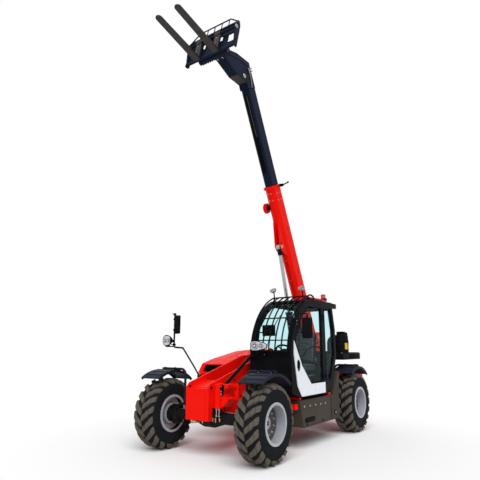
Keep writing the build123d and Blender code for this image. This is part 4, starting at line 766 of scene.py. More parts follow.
def tower_details():
    """Pivot pin caps with their keeper plates, tower pipes and the lift pin's keepers."""
    piece = Piece("tower_fittings")
    x, z = BOOM_PIVOT.x, BOOM_PIVOT.z
    for side in (1, -1):
        face = BOOM_Y + side * 0.245
        piece.lathe([(-0.002, 0.040), (0.004, 0.040), (0.009, 0.034), (0.009, 0.0)], STEEL,
                    (x, face, z), (0, side, 0), 40)
        piece.lathe([(0.009, 0.008), (0.018, 0.007), (0.020, 0.003)], BRASS, (x, face, z),
                    (0, side, 0), 10)
        ring = BOOM_Y + side * 0.220
        piece.lathe([(-0.001, 0.086), (0.012, 0.084), (0.018, 0.074), (0.018, 0.0425),
                     (-0.001, 0.0425)], RED, (x, ring, z), (0, side, 0), 48, closed=True)
        piece.bolt_ring((x, ring + side * 0.0175, z), (0, side, 0), 0.063, 6, 0.009, 0.3)
        lift = Vector((LIFT_FOOT.x, ring, LIFT_FOOT.z))
        piece.lathe([(-0.001, 0.055), (0.012, 0.054), (0.015, 0.050), (0.015, 0.0)], RED, lift,
                    (0, side, 0), 36)
        piece.bolt_ring((lift.x, ring + side * 0.0145, lift.z), (0, side, 0), 0.036, 4, 0.008, 0.78)
    # clamped pipes along the right plate
    for k, z in enumerate((0.56, 0.585, 0.61)):
        y = BOOM_Y - 0.2285
        piece.tube([(-1.95, y, z + 0.50), (-1.78, y, z + 0.48), (-1.62, y, z + 0.30 + k * 0.012),
                    (-1.30, y, z + 0.28 + k * 0.012), (-1.00, y, z + 0.24 + k * 0.012)],
                   0.0080, STEEL, 0.05, 8)
    for cx, cz in ((-1.86, 1.075), (-1.45, 0.885), (-1.12, 0.850)):
        piece.block((cx - 0.014, BOOM_Y - 0.240, cz - 0.030),
                    (cx + 0.014, BOOM_Y - 0.219, cz + 0.075), BLACK, 0.003)
        piece.bolt((cx, BOOM_Y - 0.2395, cz + 0.066), (0, -1, 0), 0.007)
    # hydraulic valve bank on the inner wall behind the boom's foot
    bank = Vector((-2.12, BOOM_Y, 0.80))
    for k in range(5):
        y = bank.y - 0.12 + k * 0.06
        piece.block((bank.x - 0.05, y - 0.026, bank.z - 0.06),
                    (bank.x + 0.05, y + 0.026, bank.z + 0.08), CAST, 0.005)
        piece.lathe([(0, 0.014), (0.020, 0.014), (0.024, 0.010)], BRASS,
                    (bank.x, y, bank.z + 0.079), (0, 0, 1), 6)
        piece.tube([(bank.x, y, bank.z + 0.10), (bank.x, y, bank.z + 0.155),
                    (bank.x + 0.06, y * 0.6 - 0.03, bank.z + 0.20),
                    (bank.x + 0.10, y * 0.6 - 0.03, bank.z + 0.26)], 0.009, HOSE, 0.03, 10)
    piece.block((bank.x - 0.07, bank.y - 0.19, bank.z - 0.075),
                (bank.x + 0.07, bank.y + 0.19, bank.z - 0.058), BLACK, 0.003)
    piece.block((-2.29, bank.y - 0.19, bank.z - 0.078),
                (bank.x - 0.06, bank.y + 0.19, bank.z - 0.062), BLACK, 0.003)
    piece.done("chassis")


def rear_details():
    """Counterweight bolts, tow pin and its ring."""
    piece = Piece("rear_fittings")
    for y in (-0.42, 0.42):
        for z in (0.68, 0.94):
            piece.cap((0.004, 0.034), (0.008, 0.030), RED, (-2.619, y, z), (-1, 0, 0), 28)
            piece.bolt((-2.626, y, z), (-1, 0, 0), 0.019)
    piece.lathe([(0, 0.0150), (0.145, 0.0150), (0.148, 0.013)], STEEL, (-2.675, 0, 0.630),
                (0, 0, 1), 24)
    piece.lathe([(0, 0.024), (0.006, 0.024), (0.008, 0.022)], STEEL, (-2.675, 0, 0.760), (0, 0, 1),
                24)
    ring = [(-2.675 + 0.022 * sin(a * pi / 6), 0.022 * cos(a * pi / 6), 0.800) for a in range(13)]
    piece.tube([(x, y, 0.790 + 0.02 * cos(i * pi / 6)) for i, (x, y, _) in enumerate(ring)], 0.003,
               STEEL, 0.001, 6)
    piece.done("chassis")


axle_details()
nose_details()
tower_details()
rear_details()


# ---------------------------------------------------------------- engine bay and hood
def engine():
    """Diesel engine with its covers, manifold, belt drive, filter and cooler."""
    low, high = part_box("engine_block")
    mid = (low + high) / 2
    piece = Piece("engine")
    piece.block((low.x + 0.14, mid.y - 0.15, low.z + 0.10),
                (high.x - 0.18, mid.y + 0.15, low.z + 0.42), ENGINE, 0.018)
    piece.plate([(low.x + 0.16, low.z), (high.x - 0.24, low.z), (high.x - 0.20, low.z + 0.05),
                 (high.x - 0.20, low.z + 0.11), (low.x + 0.14, low.z + 0.11),
                 (low.x + 0.14, low.z + 0.04)], mid.y - 0.13, mid.y + 0.13, CAST, edge=0.012)
    piece.block((low.x + 0.15, mid.y - 0.13, low.z + 0.41),
                (high.x - 0.19, mid.y + 0.13, low.z + 0.53), ENGINE, 0.010)
    piece.plate([(mid.y - 0.105, low.z + 0.53), (mid.y + 0.105, low.z + 0.53),
                 (mid.y + 0.085, low.z + 0.63), (mid.y - 0.085, low.z + 0.63)], low.x + 0.17,
                high.x - 0.21, CAST, axis="x", edge=0.018)
    for k in range(9):
        x = low.x + 0.21 + k * 0.045
        piece.block((x - 0.006, mid.y - 0.078, low.z + 0.625),
                    (x + 0.006, mid.y + 0.078, low.z + 0.636), CAST, 0.003)
    piece.lathe([(0, 0.030), (0.02, 0.030), (0.028, 0.024), (0.03, 0.0)], BLACK,
                (high.x - 0.26, mid.y, low.z + 0.63), (0, 0, 1), 20)
    for k in range(4):
        x = low.x + 0.20 + k * 0.105
        piece.tube([(x, mid.y - 0.13, low.z + 0.46), (x, mid.y - 0.19, low.z + 0.46),
                    (x, mid.y - 0.205, low.z + 0.40)], 0.024, ENGINE, 0.03, 14)
        piece.tube([(x, mid.y + 0.12, low.z + 0.47), (x, mid.y + 0.155, low.z + 0.48)], 0.022, CAST,
                   0.03, 14)
    piece.tube([(low.x + 0.17, mid.y - 0.205, low.z + 0.39),
                (high.x - 0.20, mid.y - 0.205, low.z + 0.39)], 0.036, ENGINE, 0.03, 18)
    piece.tube([(low.x + 0.17, mid.y + 0.165, low.z + 0.485),
                (high.x - 0.20, mid.y + 0.165, low.z + 0.485)], 0.030, CAST, 0.03, 18)
    front = high.x - 0.18
    for y, z, r in ((0, 0.20, 0.085), (0.10, 0.40, 0.045), (-0.11, 0.43, 0.055), (0, 0.47, 0.06)):
        piece.lathe([(-0.02, 0.020), (0.012, 0.020), (0.012, r), (0.018, r), (0.024, r - 0.010),
                     (0.030, r), (0.036, r), (0.036, 0.024), (0.048, 0.020), (0.050, 0.0)], BLACK,
                    (front, mid.y + y, low.z + z), (1, 0, 0), 32)
    belt = [(0.075, 0.16), (0.088, 0.21), (0.148, 0.40), (0.120, 0.44), (0.02, 0.53),
            (-0.03, 0.525), (-0.155, 0.462), (-0.162, 0.42), (-0.086, 0.19), (-0.05, 0.132),
            (0.03, 0.120), (0.075, 0.16)]
    piece.tube([(front + 0.024, mid.y + y, low.z + z) for y, z in belt], 0.006, HOSE, 0.02, 6)
    piece.lathe([(0, 0.060), (0.10, 0.060), (0.108, 0.052), (0.112, 0.02)], ENGINE,
                (front - 0.10, mid.y - 0.11, low.z + 0.43), (1, 0, 0), 28)
    piece.lathe([(0, 0.045), (0.11, 0.045), (0.125, 0.034), (0.127, 0.0)], WHITE,
                (mid.x - 0.08, mid.y - 0.16, low.z + 0.30), (0, -0.5, -0.86), 28)
    piece.lathe([(0, 0.19), (0.02, 0.19), (0.05, 0.165), (0.14, 0.150), (0.14, 0.0)], CAST,
                (low.x + 0.16, mid.y, low.z + 0.24), (-1, 0, 0), 40)
    # cooler in front of the fan, inside the same space
    for k in range(26):
        z = low.z + 0.03 + k * 0.021
        piece.block((high.x - 0.055, low.y + 0.02, z), (high.x - 0.005, high.y - 0.02, z + 0.007),
                    BLACK, 0.0015, steps=1)
    for y in (low.y + 0.012, high.y - 0.012):
        piece.block((high.x - 0.06, y - 0.012, low.z), (high.x, y + 0.012, high.z - 0.02), BLACK,
                    0.004)
    for z in (low.z + 0.01, high.z - 0.035):
        piece.block((high.x - 0.06, low.y, z), (high.x, high.y, z + 0.03), BLACK, 0.004)
    for at in around(7):
        turn = (Matrix.Translation((front + 0.065, mid.y, low.z + 0.30))
                @ Matrix.Rotation(at, 4, "X") @ Matrix.Rotation(0.45, 4, "Z"))
        piece.block((-0.004, -0.030, 0.03), (0.004, 0.030, 0.165), PLASTIC, 0.003, turn)
    piece.lathe([(0, 0.035), (0.03, 0.035), (0.034, 0.0)], PLASTIC,
                (front + 0.048, mid.y, low.z + 0.30), (1, 0, 0), 24)
    piece.tube([(high.x - 0.05, mid.y + 0.12, high.z - 0.06),
                (high.x - 0.11, mid.y + 0.12, high.z - 0.05),
                (front - 0.03, mid.y + 0.04, low.z + 0.55),
                (front - 0.10, mid.y + 0.02, low.z + 0.52)], 0.022, HOSE, 0.05, 16)
    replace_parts(piece.done("chassis"), "engine_block")


def bay_details():
    """Bolts and seams on the tub, belly rib and the mirror foot's bolts."""
    piece = Piece("bay_fittings")
    low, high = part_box("engine_bay")
    for x in (-0.80, -0.55, -0.28, 0.0, 0.28, 0.56):
        piece.bolt((x, low.y + 0.0005, high.z - 0.045), (0, -1, 0), 0.011)
    for x in (-0.70, -0.1, 0.45):
        piece.bolt((x, low.y + 0.0005, low.z + 0.05), (0, -1, 0), 0.011)
    piece.block((low.x + 0.06, low.y - 0.006, high.z - 0.16),
                (high.x - 0.08, low.y + 0.004, high.z - 0.10), RED, 0.005)
    piece.block((-0.30, low.y - 0.005, low.z + 0.12), (0.25, low.y + 0.004, high.z - 0.22), RED,
                0.004)
    for k in range(8):
        x = -0.245 + k * 0.062
        piece.block((x - 0.012, low.y - 0.0095, low.z + 0.16),
                    (x + 0.012, low.y - 0.002, high.z - 0.26), MESH, 0.004)
    for y in (low.y + 0.025, low.y + 0.065):
        for z in (1.034, 1.071):
            piece.bolt((0.736, y, z), (1, 0, 0), 0.0085)
    piece.done("chassis")


def hood_details():
    """Intake mesh, louvre mesh, latches, pull, crown ridges and the hinge leaves' bolts."""
    piece = Piece("hood_fittings")
    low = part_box("engine_hood")[0]
    # mesh of crossed wires behind the front intake
    for k in range(15):
        y = -0.925 + k * 0.035
        piece.tube([(0.640, y, 1.125), (0.585, y, 1.245)], 0.0022, MESH, 0.001, 6)
    for k in range(5):
        t = (k + 0.5) / 5
        piece.tube([(0.640 - 0.055 * t, -0.935, 1.125 + 0.120 * t),
                    (0.640 - 0.055 * t, -0.425, 1.125 + 0.120 * t)], 0.0022, MESH, 0.001, 6)
    piece.plate([(-0.940, 1.118), (-0.420, 1.118), (-0.420, 1.255), (-0.940, 1.255)], 0.555, 0.562,
                MESH, axis="x", edge=0.002)
    # louvre backing on the outer side, clear of the skin's inner face
    for k in range(6):
        x = -0.78 + k * 0.07
        piece.plate([(x - 0.004, 1.166), (x + 0.030, 1.166), (x + 0.070, 1.294),
                     (x + 0.036, 1.294)], low.y + 0.0215, low.y + 0.026, MESH, edge=0.0)
        piece.tube([(x + 0.028, low.y + 0.001, 1.171), (x + 0.067, low.y + 0.001, 1.289)], 0.0035,
                   RED, 0.001, 8)
    # twist latches at the skin's lower edge and a pull
    for x in (-0.70, 0.20):
        piece.cap((0.003, 0.026), (0.006, 0.022), BLACK, (x, low.y + 0.0005, 1.135), (0, -1, 0), 28)
        piece.block((x - 0.004, low.y - 0.0095, 1.118), (x + 0.004, low.y - 0.004, 1.152), BLACK,
                    0.002)
    piece.tube([(-0.34, low.y + 0.002, 1.140), (-0.34, low.y - 0.022, 1.140),
                (-0.16, low.y - 0.022, 1.140), (-0.16, low.y + 0.002, 1.140)], 0.008, BLACK, 0.014,
               12)
    # crown ridges and small fasteners on top
    def slope(x):
        if x > -0.36:
            return 1.362 + (0.225 - x) * (1.486 - 1.362) / 0.585
        return 1.486 + (-0.36 - x) * 0.028 / 0.46

    for y in (-0.44, -0.70):
        for x0, x1 in ((0.20, -0.35), (-0.37, -0.80)):
            piece.tube([(x0, y, slope(x0) - 0.001), (x1, y, slope(x1) - 0.001)], 0.006, RED, 0.001,
                       8)
    for x, y in ((0.10, -0.57), (-0.28, -0.57), (-0.60, -0.57), (0.12, -0.39), (-0.22, -0.39)):
        rise = (0.207, 0, 0.978) if x > -0.36 else (0.061, 0, 0.998)
        piece.cap((0.004, 0.012), (0.007, 0.008), BLACK, (x, y, slope(x)), rise, 16)
    for x in (-0.76, -0.48):
        for off in (0.012, 0.028):
            piece.bolt((x + off, -0.3785, 1.505), (0, -1, 0), 0.006, BLACK)
    piece.done("hood")


engine()
bay_details()
hood_details()


# ---------------------------------------------------------------- cab
CAB_MID = (CAB_LOW.y + CAB_HIGH.y) / 2
FLOOR_Z = 0.835
MOST_SWELL = 0.024              # how far a cushion may blow up


def padded_block(name, size, place, channels):
    """Cushion blown up from a rounded block, with sewn channels across it.

    size is (x, y, z) in the cushion's own frame; channels are x places of the seams.
    """
    form = bmesh.new()
    bmesh.ops.create_cube(form, size=1.0)
    for v in form.verts:
        v.co = Vector([c * s * 0.93 for c, s in zip(v.co, size)])
    bmesh.ops.bevel(form, geom=form.edges[:], offset=min(size) * 0.30, segments=4, profile=0.6,
                    affect="EDGES")
    mesh = bpy.data.meshes.new(name)
    form.to_mesh(mesh)
    form.free()
    made = placed(name, mesh)
    skin = made.modifiers.new("skin", "REMESH")
    skin.mode, skin.voxel_size = "VOXEL", 0.008
    bake(made)
    start = [v.co.copy() for v in made.data.vertices]
    cloth = made.modifiers.new("fill", "CLOTH")
    cloth.settings.use_pressure = True
    cloth.settings.uniform_pressure_force = 4.0
    cloth.settings.effector_weights.gravity = 0.0
    cloth.settings.quality = 4
    for number in range(1, 21):
        bpy.context.scene.frame_set(number)
    bake(made)
    bpy.context.scene.frame_set(1)
    for v, before in zip(made.data.vertices, start):
        step = v.co - before
        if step.length > MOST_SWELL:
            v.co = before + step.normalized() * MOST_SWELL
    finer = made.modifiers.new("finer", "SUBSURF")
    finer.levels = finer.render_levels = 1
    bake(made)
    half = [s / 2 for s in size]
    for v in made.data.vertices:
        rim = max(abs(v.co.x) / half[0], abs(v.co.y) / half[1])
        dip = 0.0
        for c in channels:
            dip = max(dip, 1 - abs(v.co.x - c) / 0.011)
        for c in (-0.52, 0.52):
            dip = max(dip, 1 - abs(v.co.y / half[1] - c) * half[1] / 0.011)
        if v.co.z > 0 and rim < 0.93:
            v.co.z -= 0.011 * max(0.0, dip) ** 0.7
            v.co.z += 0.006 * noise.noise(v.co * 9.0) - 0.010 * max(0.0, 1 - rim * 1.4)
        bolster = max(0.0, abs(v.co.y) / half[1] - 0.55) / 0.45
        if v.co.z > 0:
            v.co.z += 0.016 * sin(min(bolster, 1.0) * pi)
        v.co.x = max(-half[0], min(half[0], v.co.x))
        v.co.y = max(-half[1], min(half[1], v.co.y))
        v.co.z = max(-half[2], min(half[2] + 0.012, v.co.z))
    made.data.transform(place)
    made.data.materials.clear()
    made.data.materials.append(VINYL)
    made.data.polygons.foreach_set("use_smooth", [True] * len(made.data.polygons))
    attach(made, "chassis")
    return made


def bake(made):
    """Puts the modifiers' result into the mesh."""
    shown = made.evaluated_get(bpy.context.evaluated_depsgraph_get())
    result = bpy.data.meshes.new_from_object(shown)
    made.modifiers.clear()
    old, made.data = made.data, result
    bpy.data.meshes.remove(old)


def piping(piece, half_x, half_y, at_z, place):
    """Piped seam round a cushion."""
    r, ring = 0.05, []
    for cx, cy, start in ((half_x - r, half_y - r, 0), (r - half_x, half_y - r, 90),
                          (r - half_x, r - half_y, 180), (half_x - r, r - half_y, 270)):
        for k in range(5):
            a = radians(start + k * 22.5)
            ring.append(place @ Vector((cx + r * cos(a), cy + r * sin(a), at_z)))
    piece.tube(ring + [ring[0]], 0.0045, SEAL, 0.004, 8)


def seat():
    """Suspension seat: base, bellows, padded cushion and back, armrest, slides and belt buckle."""
    under = Piece("seat_frame")
    under.block((-0.26, CAB_MID - 0.165, FLOOR_Z), (0.05, CAB_MID + 0.165, FLOOR_Z + 0.09), BLACK,
                0.01)
    waves = [(0.0, 0.150)]
    for k in range(7):
        waves += [(0.012 + k * 0.026, 0.168), (0.024 + k * 0.026, 0.150)]
    for pair in zip(waves, waves[1:]):
        verts = []
        for up, reach in pair:
            x0, x1 = -0.252 - (reach - 0.168), 0.042 + (reach - 0.168)
            y0, y1 = CAB_MID - 0.158 - (reach - 0.168), CAB_MID + 0.158 + (reach - 0.168)
            z = FLOOR_Z + 0.088 + up
            verts += [(x0, y0, z), (x1, y0, z), (x1, y1, z), (x0, y1, z)]
        under.add(verts, [[k, (k + 1) % 4, 4 + (k + 1) % 4, 4 + k] for k in range(4)], HOSE)
    under.block((-0.31, CAB_MID - 0.20, FLOOR_Z + 0.260), (0.14, CAB_MID + 0.20, FLOOR_Z + 0.335),
                PLASTIC, 0.018)
    for side in (1, -1):
        under.block((-0.30, CAB_MID + side * 0.17 - 0.018, FLOOR_Z + 0.235),
                    (0.12, CAB_MID + side * 0.17 + 0.018, FLOOR_Z + 0.262), STEEL, 0.004)
    back = local((-0.285, CAB_MID, FLOOR_Z + 0.42), radians(99))
    under.block((0.0, -0.19, 0.030), (0.55, 0.19, 0.055), PLASTIC, 0.012, back)
    arm = local((-0.30, CAB_MID - 0.245, FLOOR_Z + 0.66), 0.05)
    under.block((0.0, -0.028, -0.02), (0.34, 0.028, 0.025), SEAL, 0.018, arm, 3)
    under.lathe([(0, 0.030), (0.022, 0.030), (0.028, 0.022), (0.028, 0)], PLASTIC,
                (-0.315, CAB_MID - 0.215, FLOOR_Z + 0.655), (0, -1, 0), 24)
    under.tube([(-0.27, CAB_MID + 0.225, FLOOR_Z + 0.33), (-0.26, CAB_MID + 0.238, FLOOR_Z + 0.43),
                (-0.245, CAB_MID + 0.235, FLOOR_Z + 0.49)], 0.008, SEAL, 0.02, 8)
    under.block((-0.268, CAB_MID + 0.222, FLOOR_Z + 0.475),
                (-0.222, CAB_MID + 0.246, FLOOR_Z + 0.545), RED_LENS, 0.006)
    lay = local((-0.075, CAB_MID, FLOOR_Z + 0.385), radians(3))
    piping(under, 0.246, 0.236, 0.018, lay)
    lean = local((-0.285, CAB_MID, FLOOR_Z + 0.72), radians(99)) @ Matrix.Rotation(pi, 4, "X")
    piping(under, 0.292, 0.212, 0.016, lean)
    under.done("chassis")
    cushion = padded_block("seat_cushion", (0.50, 0.475, 0.105), lay, (-0.10, 0.0, 0.10))
    padded_block("seat_back", (0.59, 0.43, 0.100), lean, (-0.16, -0.05, 0.06, 0.17))
    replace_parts(cushion, "seat")


def console():
    """Front console with its display, switches and pedals, and the steering wheel on its column."""
    piece = Piece("console")
    y0, y1 = CAB_MID - 0.15, CAB_MID + 0.15
    piece.plate([(0.610, FLOOR_Z), (0.480, FLOOR_Z), (0.480, FLOOR_Z + 0.42),
                 (0.432, FLOOR_Z + 0.52), (0.520, FLOOR_Z + 0.588), (0.828, FLOOR_Z + 0.558),
                 (0.828, FLOOR_Z + 0.10)], y0, y1, CONSOLE, edge=0.016)
    face = local((0.474, CAB_MID, FLOOR_Z + 0.556), radians(38))
    piece.block((-0.040, -0.085, 0.004), (0.040, 0.085, 0.016), SCREEN, 0.004, face)
    for k in range(5):
        for y in (-0.114, 0.114):
            piece.block((-0.010, -0.011, 0.0), (0.010, 0.011, 0.009), PLASTIC, 0.0025,
                        face @ Matrix.Translation((-0.036 + k * 0.018, y, 0.004)))
    hood = [(0.50, FLOOR_Z + 0.588), (0.47, FLOOR_Z + 0.625), (0.60, FLOOR_Z + 0.650),
            (0.76, FLOOR_Z + 0.612), (0.80, FLOOR_Z + 0.556)]
    piece.plate(hood, y0 + 0.02, y1 - 0.02, PLASTIC, edge=0.014)
    for k, y in enumerate((-0.07, 0.07)):
        piece.lathe([(-0.004, 0.032), (0.006, 0.032), (0.006, 0.027), (-0.002, 0.025)], BLACK,
                    (0.64, CAB_MID + y, FLOOR_Z + 0.640), (0.2, 0, 0.98), 28, closed=True)
        for j in range(5):
            piece.block((-0.024, -0.002, 0), (0.024, 0.002, 0.003), BLACK, 0.001,
                        Matrix.Translation((0.64, CAB_MID + y - 0.018 + j * 0.009,
                                            FLOOR_Z + 0.640)), 1)
    # column, gaiter and wheel
    top = Vector((0.360, CAB_MID, FLOOR_Z + 0.640))
    foot = Vector((0.480, CAB_MID, FLOOR_Z + 0.500))
    axis = (top - foot).normalized()
    piece.lathe([(0, 0.052), (0.03, 0.050), (0.09, 0.036), (0.13, 0.032), (0.16, 0.030)], PLASTIC,
                foot - axis * 0.02, axis, 28)
    piece.lathe([(0.10, 0.036), (0.118, 0.044), (0.150, 0.044), (0.160, 0.034)], PLASTIC,
                foot, axis, 28)
    tilt = local(top, 0) @ Vector((0, 0, 1)).rotation_difference(axis).to_matrix().to_4x4()
    rim, verts, faces = 0.182, [], []
    for i in range(64):
        a = 2 * pi * i / 64
        for k in range(12):
            b = 2 * pi * k / 12
            r = 0.0155 + 0.0012 * cos(12 * a)
            verts.append(((rim + r * cos(b)) * cos(a), (rim + r * cos(b)) * sin(a), r * sin(b)))
    for i in range(64):
        for k in range(12):
            faces.append([i * 12 + k, (i + 1) % 64 * 12 + k, (i + 1) % 64 * 12 + (k + 1) % 12,
                          i * 12 + (k + 1) % 12])
    piece.add(verts, faces, SEAL, tilt)
    for a in (90, 210, 330):
        turn = tilt @ Matrix.Rotation(radians(a), 4, "Z")
        piece.plate([(0.020, -0.020), (0.10, -0.011), (0.176, -0.015), (0.176, 0.015),
                     (0.10, 0.011), (0.020, 0.020)], -0.010, -0.001, PLASTIC, axis="z", edge=0.003,
                    place=turn)
    piece.lathe([(-0.026, 0.030), (0.004, 0.044), (0.012, 0.040), (0.016, 0.028), (0.016, 0.0)],
                PLASTIC, top, axis, 32)
    knob = tilt @ Vector((-0.13, 0.125, 0))
    piece.lathe([(0.0, 0.008), (0.022, 0.008), (0.026, 0.020), (0.044, 0.024), (0.056, 0.016),
                 (0.058, 0.0)], PLASTIC, knob, axis, 20)
    for side, length in ((1, 0.13), (-1, 0.12)):
        start = foot + axis * 0.115
        end = start + Vector((-0.01, side * length, 0.035))
        piece.tube([start, start + Vector((0, side * 0.05, 0.0)), end], 0.005, BLACK, 0.02, 8)
        piece.lathe([(0, 0.008), (0.03, 0.0095), (0.036, 0.006), (0.036, 0)], PLASTIC,
                    end - Vector((0, side * 0.006, 0)), (0, side, 0.1), 16)
    for k, (y, w) in enumerate(((-0.11, 0.03), (0.07, 0.03), (0.115, 0.02))):
        pedal = local((0.455, CAB_MID + y, FLOOR_Z + 0.13), radians(55))
        piece.block((-0.05, -w, -0.006), (0.05, w, 0.006), SEAL, 0.004, pedal)
        for j in range(5):
            piece.block((-0.04 + j * 0.018, -w + 0.004, 0.005),
                        (-0.033 + j * 0.018, w - 0.004, 0.009), SEAL, 0.001, pedal, 1)
        piece.tube([(0.47, CAB_MID + y, FLOOR_Z + 0.145), (0.49, CAB_MID + y, FLOOR_Z + 0.18)],
                   0.007, BLACK, 0.01, 8)
    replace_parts(piece.done("chassis"), "steering_column")


def cab_fittings():
    """Console with its joystick, monitor, linings and rails, then what is outside the cab."""
    piece = Piece("cab_interior")
    right = 0.25 + 0.045
    piece.plate([(-0.42, FLOOR_Z), (0.36, FLOOR_Z), (0.36, FLOOR_Z + 0.40), (0.26, FLOOR_Z + 0.50),
                 (-0.42, FLOOR_Z + 0.42)], right, right + 0.075, CONSOLE, edge=0.014)
    stick = Vector((0.22, right + 0.045, FLOOR_Z + 0.485))
    piece.lathe([(-0.01, 0.030), (0.008, 0.028), (0.016, 0.020), (0.024, 0.021), (0.034, 0.014),
                 (0.050, 0.010)], SEAL, stick, (0.12, 0, 0.99), 24)
    piece.lathe([(0.045, 0.009), (0.075, 0.016), (0.115, 0.019), (0.150, 0.021), (0.165, 0.015),
                 (0.168, 0)], PLASTIC, stick, (0.12, 0, 0.99), 20)
    for k in range(6):
        piece.block((-0.32 + k * 0.06, right + 0.020, FLOOR_Z + 0.425 + k * 0.0065),
                    (-0.285 + k * 0.06, right + 0.050, FLOOR_Z + 0.442 + k * 0.0065), PLASTIC,
                    0.004)
    # monitor on the right screen pillar, facing the seat
    piece.tube([(0.70, right - 0.002, 1.80), (0.66, right + 0.05, 1.80),
                (0.60, right + 0.085, 1.79)], 0.010, BLACK, 0.02, 10)
    shade = Matrix.Translation((0.575, right + 0.125, 1.835)) @ Matrix.Rotation(radians(-8), 4, "Z")
    piece.block((-0.022, -0.125, -0.092), (0.022, 0.135, 0.092), PLASTIC, 0.010, shade, 3)
    piece.block((-0.0245, -0.110, -0.078), (-0.018, 0.120, 0.078), SCREEN, 0.003, shade)
    # headlining and rear wall lining
    piece.plate([(-0.66, 2.290), (0.14, 2.290), (0.17, 2.312), (-0.66, 2.3175)], right + 0.02, 0.95,
                CONSOLE, edge=0.006)
    for k in range(4):
        piece.lathe([(0, 0.034), (0.010, 0.032), (0.012, 0.026), (0.004, 0.024)], BLACK,
                    (0.04, 0.37 + k * 0.17, 2.291), (0, 0, -1), 24, closed=True)
    piece.plate([(-0.60, 1.03), (-0.52, 1.01), (-0.70, 1.43), (-0.745, 1.43)], right + 0.01, 0.955,
                CONSOLE, edge=0.006)
    # grab rails beside the door
    piece.tube([(0.48, 0.965, 1.28), (0.50, 0.935, 1.33), (0.44, 0.925, 1.78), (0.40, 0.955, 1.83)],
               0.011, SEAL, 0.04, 10)
    piece.tube([(-0.06, 0.965, 1.30), (-0.08, 0.93, 1.34), (-0.14, 0.93, 1.60),
                (-0.16, 0.965, 1.64)], 0.010, SEAL, 0.03, 10)
    # floor mat with ribs
    piece.block((-0.20, right + 0.09, FLOOR_Z - 0.001), (0.46, 0.955, FLOOR_Z + 0.008), SEAL, 0.003)
    for k in range(18):
        piece.block((0.10 + k * 0.019, right + 0.11, FLOOR_Z + 0.006),
                    (0.107 + k * 0.019, 0.94, FLOOR_Z + 0.012), SEAL, 0.001, steps=1)
    piece.done("chassis")

    outside = Piece("cab_fittings")
    # wiper: motor hub on the screen's base, arm and blade laid against the glass
    hub = Vector((0.880, 0.56, 1.470))
    outside.lathe([(0, 0.022), (0.026, 0.020), (0.032, 0.013), (0.034, 0)], PLASTIC, hub,
                  (1, 0, 0.1), 20)
    arm = [arc_at(GLASS_RADIUS + off, angle, y)
           for off, angle, y in ((0.020, 5.2, 0.56), (0.014, 16, 0.60), (0.012, 28, 0.65))]
    outside.tube([hub + Vector((0.022, 0, 0.005))] + arm, 0.0048, BLACK, 0.05, 8)
    blade = [arc_at(GLASS_RADIUS + 0.003, a, 0.60 + (a - 14) * 0.0032) for a in range(14, 43, 2)]
    outside.tube(blade, 0.0055, SEAL, 0.01, 8)
    outside.tube([p + (p - Vector((GLASS_ARC.x, p.y, GLASS_ARC.z))).normalized() * 0.010
                  for p in blade[3:-3]], 0.0035, BLACK, 0.01, 8)
    # glazing seals round the screen, the side and the rear panes
    edge = [arc_at(GLASS_RADIUS - 0.010, a, 0) for a in range(7, 67, 3)]
    for y in (0.3125, 0.9575):
        outside.tube([Vector((p.x, y, p.z)) for p in edge], 0.008, SEAL, 0.01, 8)
    outside.tube([(0.868, 0.315, 1.506), (0.868, 0.955, 1.506)], 0.009, SEAL, 0.01, 8)
    quarter = [(-0.355, 1.01), (-0.52, 1.01), (-0.72, 1.42), (-0.72, 1.87), (-0.65, 2.24),
               (-0.355, 2.25)]
    ring = rounded([Vector((x, 1.019, z)) for x, z in quarter + quarter[:2]], 0.03)[7:]
    outside.tube(ring, 0.007, SEAL, 0.004, 8)
    rear = [Vector((-0.800, 0.33, 1.48)), Vector((-0.800, 0.94, 1.48)),
            Vector((-0.800, 0.94, 1.87)), Vector((-0.722, 0.94, 2.23)),
            Vector((-0.722, 0.33, 2.23)), Vector((-0.800, 0.33, 1.87)),
            Vector((-0.800, 0.33, 1.48))]
    outside.tube(rear, 0.009, SEAL, 0.02, 8)
    # plastic fairing and air grilles under the screen, side vents and roof caps
    for k in range(9):
        y = 0.335 + k * 0.0725
        outside.block((0.884, y, 1.435), (0.8915, y + 0.050, 1.442), MESH, 0.002)
        outside.block((0.884, y, 1.415), (0.8915, y + 0.050, 1.422), MESH, 0.002)
    outside.block((0.880, 0.30, 0.96), (0.8945, 0.97, 1.16), PLASTIC, 0.012)
    for y in (0.33, 0.94):
        for z in (0.985, 1.135):
            outside.bolt((0.894, y, z), (1, 0, 0), 0.010, BLACK)
    for x, z in ((-0.36, 0.93), (-0.50, 0.955), (0.10, 0.805)):
        outside.bolt((x, 1.0195, z + 0.02), (0, 1, 0), 0.010, BLACK)
    # roof: ribbed pressings and the hose bend at its front left corner
    for k in range(4):
        y = 0.40 + k * 0.155
        outside.plate([(-0.62, 2.3635), (0.08, 2.3635), (0.06, 2.3735), (-0.60, 2.3735)], y,
                      y + 0.075, BLACK, edge=0.0045)
    outside.tube([(0.16, 0.965, 2.362), (0.17, 0.975, 2.425), (0.06, 0.970, 2.450),
                  (-0.06, 0.960, 2.430), (-0.09, 0.955, 2.362)], 0.014, SEAL, 0.04, 12)
    outside.block((0.02, 0.90, 2.360), (0.14, 0.985, 2.392), BLACK, 0.008)
    for y in (0.42, 0.85):
        outside.cap((0.010, 0.030), (0.014, 0.024), BLACK, (-0.72, y, 2.366), (0, 0, 1), 24)
    outside.done("chassis")


